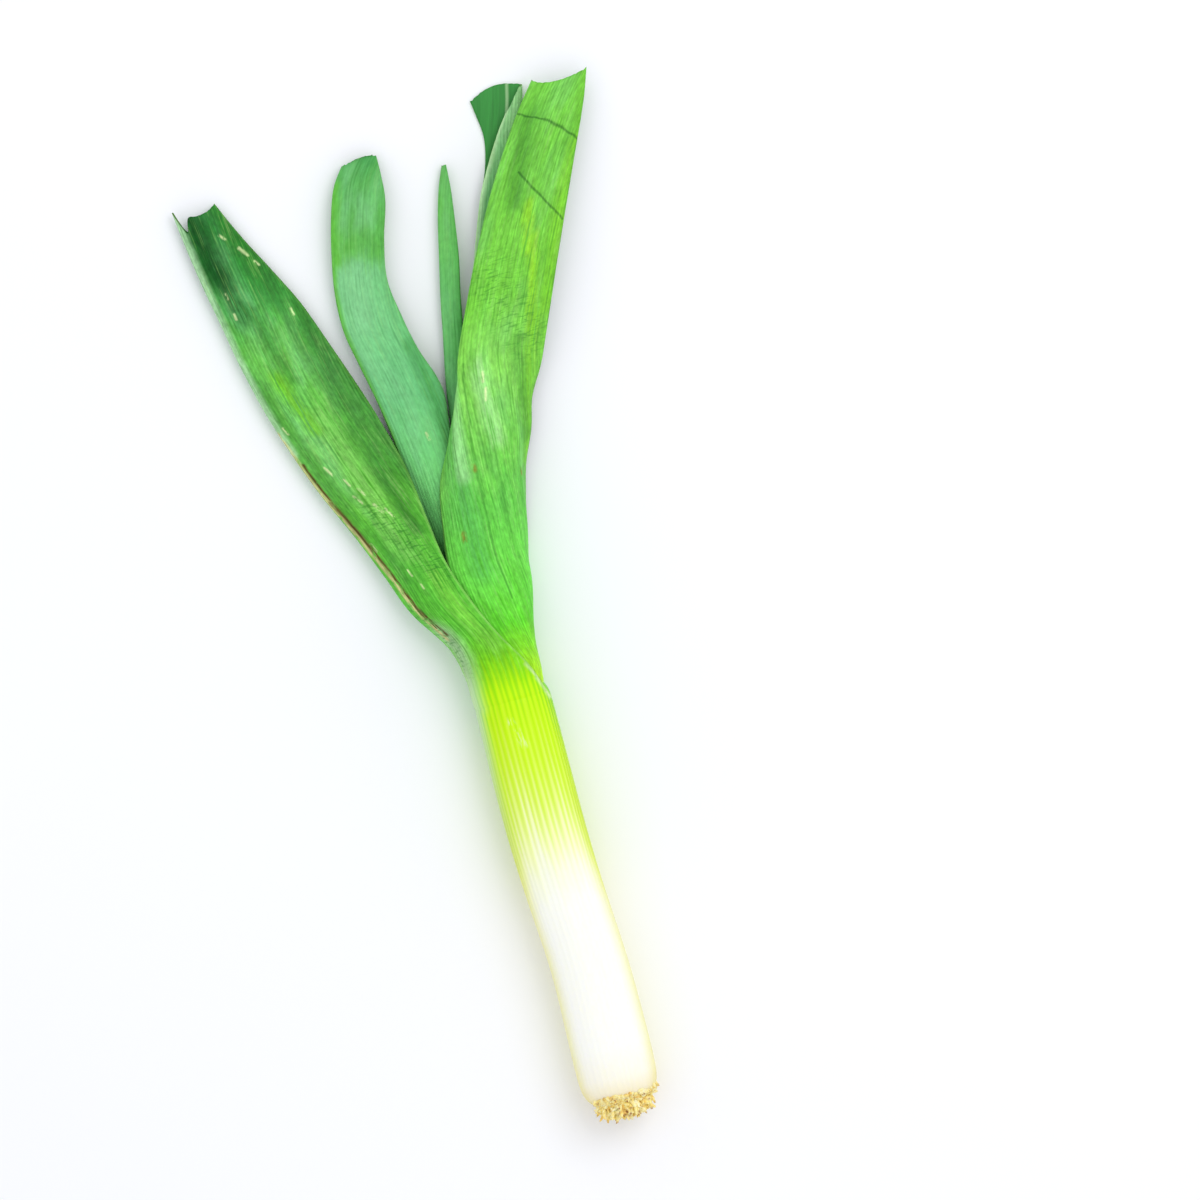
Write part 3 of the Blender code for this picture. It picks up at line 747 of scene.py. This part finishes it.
def leaf_edge_skin():
    """Leaf tissue seen edge on: a pale translucent rim along the margins, dull dark green where cut."""
    material, tree = start_material("leek_leaf_edge")
    place, parts = leaf_coordinates(tree)
    across = add_node(tree, ABSOLUTE, (parts["Z"],))
    at_margin = add_node(tree, SMOOTH_RANGE, (across, 0.97, 0.995))
    spots = grain(tree, place, 1.5, 1.5, 3.0)
    cut = add_node(tree, COLOUR_MIX, {0: spots, 6: "#2F6A26", 7: "#6E8A3C"}, 2)
    rim = add_node(tree, COLOUR_MIX, {0: spots, 6: "#74BE5C", 7: "#A8D488"}, 2)
    colour = add_node(tree, COLOUR_MIX, {0: at_margin, 6: cut, 7: rim}, 2)
    close_material(tree, colour, 0.55, 0.0, {"IOR": 1.42, "Specular IOR Level": 0.24})
    return material


def sheath_colour(tree, group, place, parts):
    """Colour, relief and gloss of the outer sheath, shared by the shank and the outermost leaf's foot.

    Distances across run round the shank from its left side, over the top: 0 left, 27 top, 55 right.
    """
    side = add_node(tree, MULTIPLY_ADD, (parts["X"], 1 / HALF_ROUND, -TOP_ARC / HALF_ROUND))
    side = add_node(tree, ABSOLUTE, (side,))
    fine = grain(tree, place, 1.2, 60.0, 31.0, 3.0)
    broad = grain(tree, place, 7.0, 120.0, 32.0)
    turns = add_node(tree, MULTIPLY, (parts["X"], 2 * math.pi / STRIPE_SPACING))
    turns = add_node(tree, MULTIPLY_ADD, (broad, 7.0, turns))
    ribs = add_node(tree, SINE, (turns,))

    # White turns to lime and green; the ribs carry the lime further down than the flesh between them.
    shift = add_node(tree, MULTIPLY_ADD, (fine, 26.0, -26.0))
    shift = add_node(tree, MULTIPLY_ADD, (broad, 26.0, shift))
    striped = add_node(tree, SMOOTH_RANGE, (parts["Y"], 92.0, 165.0, 0.0, 13.0))
    calmer = add_node(tree, SMOOTH_RANGE, (parts["Y"], 165.0, 200.0, 1.0, 0.45))
    striped = add_node(tree, MULTIPLY, (striped, calmer))
    shift = add_node(tree, MULTIPLY_ADD, (ribs, striped, shift))
    upper = add_node(tree, SMOOTH_RANGE, (parts["Y"], 50.0, 120.0))
    distance = add_node(tree, MULTIPLY_ADD, (shift, upper, parts["Y"]))
    flank = add_node(tree, SMOOTH_RANGE, (side, 0.2, 0.5, 0.0, 22.0))
    distance = add_node(tree, MULTIPLY_ADD, (flank, upper, distance))
    levels = ((0, "#F1DCA4"), (4, "#F9ECC8"), (12, "#FEF8E6"), (26, "#FFFEF3"), (92, "#FEFEF0"),
              (108, "#FAFDDC"), (120, "#F3FBB4"), (132, "#E4F782"), (146, "#D6F352"), (165, "#CBF22A"),
              (184, "#C2F20C"), (200, "#9AE604"), (SHEATH_END, "#6CD80E"))
    stops = [(y / SHEATH_END, level) for y, level in levels]
    share = add_node(tree, MATH, (distance, SHEATH_END), operation="DIVIDE")
    colour = add_node(tree, RAMP, (share,), stops=stops)

    # The flanks and the underside are painted creamier than the top, as painted shade where they turn from
    # the light, and greyer on the left by the leaf.
    painted_flank_shade = add_node(tree, SMOOTH_RANGE, (side, 0.22, 0.47))
    colour = add_node(tree, COLOUR_MIX, {0: painted_flank_shade, 6: colour, 7: "#F3F0B8"}, 2, blend_type="MULTIPLY")
    band = strokes(tree, group, place, (((7.0, 218), (4.5, 188), 13.5), ((4.5, 188), (3.0, 112), 10.5)))
    dulled = add_node(tree, SMOOTH_RANGE, (parts["Y"], 100.0, 190.0, 0.0, 0.95))
    dulled = add_node(tree, MULTIPLY, (band, dulled))
    varied = add_node(tree, MULTIPLY_ADD, (fine, 0.8, 0.6), use_clamp=True)
    dulled = add_node(tree, MULTIPLY, (dulled, varied))
    colour = add_node(tree, COLOUR_MIX, {0: dulled, 6: colour, 7: "#C6E4AC"}, 2)

    # A papery rim where the sheath opens, and a scuff below it.
    lip = strokes(tree, group, place, (((49.0, 184), (43.5, 193), 2.8), ((43.5, 193), (38.5, 200), 1.6),
                                       ((49.0, 184), (52.0, 183), 1.8)))
    varied = add_node(tree, MULTIPLY_ADD, (fine, 1.2, 0.1), use_clamp=True)
    lip = add_node(tree, MULTIPLY, (lip, varied))
    colour = add_node(tree, COLOUR_MIX, {0: lip, 6: colour, 7: "#E2F2B2"}, 2)
    scuff = strokes(tree, group, place, (((24.0, 177), (28.0, 166), 3.0),))
    worn = add_node(tree, SMOOTH_RANGE, (grain(tree, place, 0.6, 4.0, 35.0), 0.45, 0.65, 0.0, 0.7))
    worn = add_node(tree, MULTIPLY, (scuff, worn))
    colour = add_node(tree, COLOUR_MIX, {0: worn, 6: colour, 7: "#E8F4A8"}, 2)

    tone = add_node(tree, MULTIPLY_ADD, (fine, 0.2, 0.9))
    tone = add_node(tree, MULTIPLY_ADD, (ribs, -0.03, tone))
    tone = add_node(tree, MIX, {0: upper, 2: 1.0, 3: tone}, data_type="FLOAT")
    colour = add_node(tree, SCALE, {0: colour, "Scale": tone})
    height = add_node(tree, MULTIPLY, (fine, 0.1))
    height = add_node(tree, MULTIPLY_ADD, (ribs, 0.05, height))
    gloss = add_node(tree, MULTIPLY_ADD, (grain(tree, place, 8.0, 30.0, 36.0), 0.2, 0.28))
    return colour, height, gloss


def shank_skin(group):
    """Blanched leek sheath: wet smooth white flesh that turns lime towards the leaves.

    Thin watery ribs run lengthwise; the flesh lets a little light through, and its flanks are warmed further
    by a painted creamy shade.
    """
    material, tree = start_material("leek_shank_skin")
    place, parts = leaf_coordinates(tree)
    colour, height, gloss = sheath_colour(tree, group, place, parts)
    depth = add_node(tree, RANGE, (parts["Y"], 90.0, 180.0, 0.25, 0.0))
    close_material(tree, colour, gloss, height,
                   {"IOR": 1.42, "Specular IOR Level": 0.14, "Subsurface Weight": depth,
                    "Subsurface Scale": 0.004, "Subsurface Radius": (1.0, 0.95, 0.45)})
    return material


def root_skin():
    """Trimmed dry leek roots: pale golden fibrous skin, tan in the gaps and brown at some cut tips."""
    material, tree = start_material("leek_root_fibre")
    tint = add_node(tree, "ShaderNodeAttribute", (), "Vector", attribute_name="root_tint")
    tint = add_node(tree, "ShaderNodeSeparateXYZ", (tint,), None)
    spot = add_node(tree, "ShaderNodeTexCoord", (), "Object")

    # Object coordinates are in metres, so the patches measure about 3 mm and the fibre 0.7 mm.
    patch = add_node(tree, NOISE, {"Vector": spot, "Scale": 300.0, "Detail": 3.0})
    fibre = add_node(tree, NOISE, {"Vector": spot, "Scale": 1500.0, "Detail": 2.0})
    share = add_node(tree, MULTIPLY_ADD, (tint["X"], 0.4, patch))
    stops = [(0.1, "#CC9A4A"), (0.28, "#F2CC72"), (0.42, "#FEE68C"), (0.58, "#FFF0A8"), (0.8, "#FFF8CC")]
    colour = add_node(tree, RAMP, (share,), stops=stops)
    tip = add_node(tree, SMOOTH_RANGE, (tint["Y"], 0.72, 1.0))
    tip = add_node(tree, MULTIPLY, (tip, tint["Z"]))
    colour = add_node(tree, COLOUR_MIX, {0: tip, 6: colour, 7: "#9C5E34"}, 2)
    tone = add_node(tree, MULTIPLY_ADD, (fibre, 0.5, 0.8))
    colour = add_node(tree, SCALE, {0: colour, "Scale": tone})
    gloss = add_node(tree, MULTIPLY_ADD, (patch, 0.2, 0.55))
    height = add_node(tree, MULTIPLY, (fibre, 0.3))
    close_material(tree, colour, gloss, height,
                   {"IOR": 1.45, "Specular IOR Level": 0.3, "Subsurface Weight": 0.15,
                    "Subsurface Scale": 0.001, "Subsurface Radius": (1.0, 0.8, 0.4)})
    return material


def table_finish():
    """Matt white laminate: near-white, very slightly uneven in tone."""
    material, tree = start_material("white_laminate_table")
    spot = add_node(tree, "ShaderNodeTexCoord", (), "Object")
    cloud = add_node(tree, NOISE, {"Vector": spot, "Scale": 3.0})
    colour = add_node(tree, COLOUR_MIX, {0: cloud, 6: "#F8F8FA", 7: "#FBFBFC"}, 2)
    gloss = add_node(tree, MULTIPLY_ADD, (cloud, 0.1, 0.7))
    close_material(tree, colour, gloss, 0.0, {"IOR": 1.45})
    return material


def finish_piece(name, bm, materials, slot, *nodes):
    """Turn a bmesh in the part's millimetres into a piece that stands for its nodes."""
    bmesh.ops.translate(bm, vec=(0.0, -ORIGIN_Y, 0.0), verts=bm.verts)
    bmesh.ops.scale(bm, vec=(MM, MM, MM), verts=bm.verts)
    mesh = bpy.data.meshes.new(name)
    bm.to_mesh(mesh)
    bm.free()
    mesh.shade_smooth()
    for material in materials:
        mesh.materials.append(material)
    piece = bpy.data.objects.new(name, mesh)
    bpy.context.scene.collection.objects.link(piece)
    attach(piece, "root")
    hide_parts(*nodes)
    return piece


# A blade's small waves, in millimetres: ripples at its margins, and long shallow ridges of two widths.
# They begin past the neck and mostly die away before the cut.
RIPPLE_LENGTH = 95.0
RIPPLE_HEIGHT = 0.35
RIPPLE_WANDER = 0.6
WANDER_LENGTH = 22.0
RIDGE_HEIGHT = 0.38
RIDGE_WIDTH = 5.5
RIDGE_LENGTH = 90.0
FINE_RIDGE_SHARE = 0.5
FINE_RIDGE_WIDTH = 2.6
FINE_RIDGE_LENGTH = 70.0
SWELL_FROM = 205.0
SWELL_FULL = 270.0
SWELL_FADE = 25.0
SWELL_LOST = 0.92

# The cuts: a ragged edge, the nick beside the point of the outermost leaf's keel with its lower half cut
# further back, and the slanting end of the fourth leaf's folded hem.
RAGGED_DEPTH = 1.4
RAGGED_TEETH = 9
KEEL_SPARED = 8
SMALLEST_TRIM = 0.2
NICK_DEPTH = 8.6
NICK_MIDDLE = 0.17
NICK_WIDTH = 0.085
LOWER_HALF_TRIM = 6.0
LOWER_HALF_SHARES = (0.03, 0.22)
HEM_SLANT = 9.0

# Distances across on the outermost leaf's foot are measured on the shank's slightly larger round.
FOOT_STRETCH = 0.0235
FOOT_FADES = (188.0, 215.0)


def fine_trim(name, across):
    """How much further than in the part a blade is cut back at this place, in millimetres."""
    teeth = abs(noise.noise((across * RAGGED_TEETH, LEAVES[name][4], 0.0)))
    trim = RAGGED_DEPTH * teeth * min(abs(across) * KEEL_SPARED, 1.0)
    trim += SMALLEST_TRIM
    if name == "leaf_1":
        trim += NICK_DEPTH * math.exp(-((across - NICK_MIDDLE) / NICK_WIDTH)**2)
        trim += LOWER_HALF_TRIM * smooth_step(-across, *LOWER_HALF_SHARES)
    if name == "leaf_4":
        trim += HEM_SLANT * max(across, 0.0)
    return trim


def swell(s, y, across, seed, last_y):
    """Small waves of a living leaf: wavy margins and long shallow ridges, few at the neck and the cut."""
    free = smooth_step(y, SWELL_FROM, SWELL_FULL)
    free *= 1.0 - SWELL_LOST * smooth_step(y, last_y - SWELL_FADE, last_y)
    wander = RIPPLE_WANDER * noise.noise((y / WANDER_LENGTH, seed, across * 2))
    wave = math.sin(2 * math.pi * y / RIPPLE_LENGTH + seed) + wander
    ridges = noise.noise((s / RIDGE_WIDTH, y / RIDGE_LENGTH, seed))
    ridges += FINE_RIDGE_SHARE * noise.noise((s / FINE_RIDGE_WIDTH, y / FINE_RIDGE_LENGTH, seed + 5))
    return free * (RIPPLE_HEIGHT * across**2 * wave + RIDGE_HEIGHT * ridges)


def make_blade(name, half_columns, materials, slot, seed):
    """A fine leaf: a grid laid along the part's own sections, swelled a little, then thickened."""
    stations, keel_radius, cut_at, dip, rank = LEAVES[name]
    bm = bmesh.new()
    bmesh.ops.create_grid(bm, x_segments=2 * half_columns, y_segments=BLADE_ROWS, size=1.0)
    leaf_place = bm.verts.layers.float_vector.new("leaf_place")
    for vert in bm.verts:
        across = math.copysign(abs(vert.co.x)**COLUMN_CROWDING, vert.co.x)
        along = ((vert.co.y + 1) / 2)**ROW_CROWDING
        first_y = TUCK_Y if name == "leaf_1" else SHANK_TOP_Y
        last_y = cut_end(cut_at, dip, across) - fine_trim(name, across)
        y = first_y + along * (last_y - first_y)
        row = between_stations(stations, max(y, SHANK_TOP_Y))
        x, z, direction = blade_point(row, keel_radius, across)
        s = across * (row[2] if across >= 0 else row[5])
        outwards = math.radians(direction + math.copysign(90, across) * rank)
        out = swell(s, y, across, seed, last_y)
        if name == "leaf_1":
            out -= TUCK_DEPTH * smooth_step(SHANK_TOP_Y + TUCK_RISE - y, 0.0, TUCK_LENGTH)
            s *= 1.0 + FOOT_STRETCH * (1.0 - smooth_step(y, *FOOT_FADES))
        x += out * math.cos(outwards)
        z = lifted(z + out * math.sin(outwards), BLADE_THICKNESS / 2 + TOUCH_CLEARANCE)
        vert[leaf_place] = (s, y, across)
        vert.co = (x, y, z)
    if rank == RIGHT:
        bmesh.ops.reverse_faces(bm, faces=bm.faces)
    blade = finish_piece(name + "_blade", bm, materials, slot, name)
    solidify = blade.modifiers.new("blade_thickness", "SOLIDIFY")
    solidify.thickness = FINE_THICKNESS * MM
    solidify.offset = 0.0
    solidify.use_even_offset = True
    solidify.material_offset = 1
    solidify.material_offset_rim = 2
    return blade


def make_shank(material):
    """The shank: a sheet rolled into a tube, closed at both ends, flat where it rests."""
    bm = bmesh.new()
    bmesh.ops.create_grid(bm, x_segments=SHANK_COLUMNS, y_segments=SHANK_ROWS, size=1.0)
    leaf_place = bm.loops.layers.float_vector.new("leaf_place")
    for face in bm.faces:
        for loop in face.loops:
            y = SHANK_BASE_Y + shank_share(loop.vert.co.y) * (LIP_Y - SHANK_BASE_Y)
            arc = TOP_ARC + HALF_ROUND * loop.vert.co.x
            loop[leaf_place] = (arc, y, loop.vert.co.x)
    for vert in bm.verts:
        turn = math.radians(90 - 180 * vert.co.x)
        y = SHANK_BASE_Y + shank_share(vert.co.y) * (LIP_Y - SHANK_BASE_Y)
        middle, radius = between_stations(SHANK_STATIONS, min(y, SHANK_TOP_Y))
        spot = (math.cos(turn) * SHANK_LUMPS, math.sin(turn) * SHANK_LUMPS, y / SHANK_LUMP_LENGTH)
        radius += SHANK_UNEVENNESS * noise.noise(spot) - SHANK_INSET
        radius -= LIP_DEPTH * max((y - LIP_STARTS) / (LIP_Y - LIP_STARTS), 0.0)**2
        height = SHANK_AXIS_Z + radius * math.sin(turn)
        vert.co = (middle + radius * math.cos(turn), y, max(height, 0.0))
    bmesh.ops.remove_doubles(bm, verts=bm.verts, dist=MERGE_DISTANCE)
    open_edges = [edge for edge in bm.edges if edge.is_boundary]
    bmesh.ops.edgeloop_fill(bm, edges=open_edges)
    bmesh.ops.recalc_face_normals(bm, faces=bm.faces)
    shank = finish_piece("shank_skin", bm, [material], "sheath_white", "shank")
    shank.data.set_sharp_from_angle(angle=math.radians(SHARP_FROM_DEGREES))
    return shank


def shank_share(grid_y):
    """Rows crowd towards the rounded root end."""
    return ((grid_y + 1) / 2)**SHANK_ROW_CROWDING


def dome_point(polar, turn):
    """A point of the root plate's dome and its outward direction; polar is 0 at the dome's middle."""
    side = math.sin(polar)
    down = math.cos(polar)
    round_about = Vector((math.cos(turn), 0.0, math.sin(turn)))
    rim = Vector((PLATE_X, SHANK_BASE_Y - PLATE_GAP, SHANK_AXIS_Z))
    point = rim + round_about * (PLATE_RADIUS * side) + Vector((0.0, -PLATE_DEPTH * down, 0.0))
    outward = round_about * (side / PLATE_RADIUS) + Vector((0.0, -down / PLATE_DEPTH, 0.0))
    return point, outward.normalized()


def random_push(draw, most):
    """A push of up to this much along each axis, from the seeded draw."""
    return Vector([draw.uniform(-most, most) for _ in range(3)])


def make_root(bm, root_tint, sides, foot, way, length, radius, draw):
    """One trimmed root: a lumpy tapered stub that bends a little and ends in a rounded cut."""
    made = bmesh.ops.create_grid(bm, x_segments=sides, y_segments=ROOT_CUTS, size=1.0)["verts"]
    bend = Vector((draw.uniform(-1, 1), draw.uniform(-1, 1), 0.0)) * length * ROOT_BEND
    tone = draw.uniform(*ROOT_TONES)
    browned = draw.random()**BROWNING_RARITY
    stand = Matrix.Translation(foot) @ way.to_track_quat("Z", "Y").to_matrix().to_4x4()
    for vert in made:
        turn = math.pi * (vert.co.x + 1)
        share = min((vert.co.y + 1) / 2 * RING_STRETCH, 1.0)
        lump = LUMP_HEIGHT * math.sin(share * LUMP_TURNS + tone * LUMP_SHIFT)
        girth = radius * (1 + (ROOT_TAPER - 1) * share) * (1.0 + lump)
        if vert.co.y > 0.99:
            girth *= CUT_GIRTH
        spot = Vector((girth * math.cos(turn), girth * math.sin(turn), share * length - ROOT_SUNK))
        vert[root_tint] = (tone, share, browned)
        vert.co = stand @ (spot + bend * share**2)
    bmesh.ops.remove_doubles(bm, verts=made, dist=MERGE_DISTANCE)


def make_root_tuft(material):
    """The domed root plate with its trimmed roots and a thicket of shorter rootlets round them."""
    bm = bmesh.new()
    root_tint = bm.verts.layers.float_vector.new("root_tint")
    lie_down = Matrix.Rotation(math.radians(90), 4, "X")
    plate = bmesh.ops.create_uvsphere(bm, u_segments=PLATE_SIDES, v_segments=PLATE_SIDES // 2,
                                      radius=1.0, matrix=lie_down)["verts"]
    rim_y = SHANK_BASE_Y - FINE_PLATE_GAP
    for vert in plate:
        rough = min(1.0 + PLATE_UNEVENNESS * noise.noise(vert.co * PLATE_LUMPS), 1.0)
        depth = PLATE_DEPTH * FINE_PLATE_SHARE if vert.co.y < 0 else 0.0
        vert[root_tint] = PLATE_TINT
        vert.co = (PLATE_X + PLATE_RADIUS * vert.co.x * rough, rim_y + depth * vert.co.y,
                   SHANK_AXIS_Z + PLATE_RADIUS * vert.co.z * rough)
    draw = random.Random(ROOT_SEED)
    for index in range(ROOT_COUNT):
        polar = math.asin(ROOT_SPREAD * math.sqrt((index + 0.5) / ROOT_COUNT))
        foot, outward = dome_point(polar, index * GOLDEN_ANGLE)
        lean = Vector((0.0, -ROOT_LEAN, 0.0))
        way = (outward + lean + random_push(draw, ROOT_JITTER)).normalized()
        length = (ROOT_SUNK + ROOT_REACH * draw.uniform(ROOT_SHORTEST, 1.0)) * ROOT_SHORTENED
        radius = ROOT_RADIUS * draw.uniform(*ROOT_GIRTHS)
        make_root(bm, root_tint, ROOT_SIDES, foot, way, length, radius, random.Random(index))
    for index in range(RIM_COUNT):
        turn = index * GOLDEN_ANGLE
        y = SHANK_BASE_Y + RIM_WIDTH * draw.random()**RIM_CROWDING
        middle, girth = between_stations(SHANK_STATIONS, y)
        outward = Vector((math.cos(turn), 0.0, math.sin(turn)))
        foot = Vector((middle, y, SHANK_AXIS_Z)) + outward * girth
        lean = Vector((0.0, -RIM_LEAN, 0.0))
        way = (outward * RIM_OUTWARD + lean + random_push(draw, RIM_JITTER)).normalized()
        length = draw.uniform(*RIM_LENGTHS)
        radius = ROOTLET_RADIUS * draw.uniform(*RIM_GIRTHS)
        if foot.z > RIM_LOWEST_Z and foot.x > RIM_LEAST_X:
            own_draw = random.Random(RIM_SEED + index)
            make_root(bm, root_tint, ROOTLET_SIDES, foot, way, length, radius, own_draw)
    for index in range(ROOTLET_COUNT):
        polar = math.asin(math.sqrt((index + 0.5) / ROOTLET_COUNT))
        foot, outward = dome_point(polar, index * GOLDEN_ANGLE + ROOTLET_TURN)
        lean = Vector((0.0, -ROOTLET_LEAN, 0.0))
        way = (outward + lean + random_push(draw, ROOTLET_JITTER)).normalized()
        length = ROOT_SUNK + draw.uniform(*ROOTLET_REACH)
        radius = ROOTLET_RADIUS * draw.uniform(*ROOTLET_GIRTHS)
        own_draw = random.Random(ROOTLET_SEED + index)
        make_root(bm, root_tint, ROOTLET_SIDES, foot, way, length, radius, own_draw)
    bmesh.ops.edgeloop_fill(bm, edges=[edge for edge in bm.edges if edge.is_boundary])
    bmesh.ops.recalc_face_normals(bm, faces=bm.faces)
    return finish_piece("trimmed_roots", bm, [material], "root_fibre", "root_tuft")


# The stage: a large pale table, a soft key light from the upper right and an even bright surround.
TABLE_SIZE = 6.0
VIEW_TURN = math.radians(-15)
VIEW_CENTRE = (0.0489, 0.1189)
CAMERA_HEIGHT = 2.4
CAMERA_LENS = 160.0
KEY_POWER = 7.0
KEY_SIZE = 1.0
KEY_PLACE = (0.75, 0.6, 1.45)
KEY_AIM = Vector((0.0, 0.12, 0.0))
SURROUND_STRENGTH = 0.93


def make_stage():
    """Table, lights and camera."""
    bm = bmesh.new()
    bmesh.ops.create_grid(bm, x_segments=2, y_segments=2, size=TABLE_SIZE / 2)
    mesh = bpy.data.meshes.new("table")
    bm.to_mesh(mesh)
    bm.free()
    mesh.materials.append(table_finish())
    table = bpy.data.objects.new("table", mesh)
    bpy.context.scene.collection.objects.link(table)

    key = bpy.data.lights.new("key_softbox", "AREA")
    key.shape = "RECTANGLE"
    key.size = KEY_SIZE
    key.size_y = KEY_SIZE
    key.energy = KEY_POWER
    key_object = bpy.data.objects.new("key_softbox", key)
    key_object.location = KEY_PLACE
    aim = KEY_AIM - key_object.location
    key_object.rotation_euler = aim.to_track_quat("-Z", "Y").to_euler()
    bpy.context.scene.collection.objects.link(key_object)

    world = bpy.data.worlds.new("white_surround")
    world.use_nodes = True
    sky = world.node_tree.nodes["Background"]
    sky.inputs["Color"].default_value = linear("#F8FAFF")
    sky.inputs["Strength"].default_value = SURROUND_STRENGTH
    bpy.context.scene.world = world

    camera = bpy.data.cameras.new("photo_view")
    camera.lens = CAMERA_LENS
    camera.sensor_width = 36.0
    camera_object = bpy.data.objects.new("photo_view", camera)
    camera_object.location = (*VIEW_CENTRE, CAMERA_HEIGHT)
    camera_object.rotation_euler = (0.0, 0.0, VIEW_TURN)
    bpy.context.scene.collection.objects.link(camera_object)
    bpy.context.scene.camera = camera_object
    bpy.context.scene.view_settings.view_transform = "Standard"


def main():
    """Dress every node of the leek and set the stage."""
    group = make_stroke_group()
    edge = leaf_edge_skin()
    skins = {name: leaf_skin("leek_" + name + "_skin", look, group, 10.0 * index + 3.0)
             for index, (name, look) in enumerate(LEAF_LOOKS.items())}
    inner = inner_leaf_skin()
    slots = {"leaf_1": "blade_mid_green", "leaf_2": "blade_light_green", "leaf_3": "blade_blue_green",
             "leaf_4": "blade_dark_green", "leaf_5": "blade_pale_green"}
    for index, name in enumerate(LEAVES):
        half_columns = SPEAR_HALF_COLUMNS if name == "leaf_5" else HALF_COLUMNS
        make_blade(name, half_columns, [skins[name], inner, edge], slots[name], 2.0 + index)
    make_shank(shank_skin(group))
    make_root_tuft(root_skin())
    make_stage()


main()
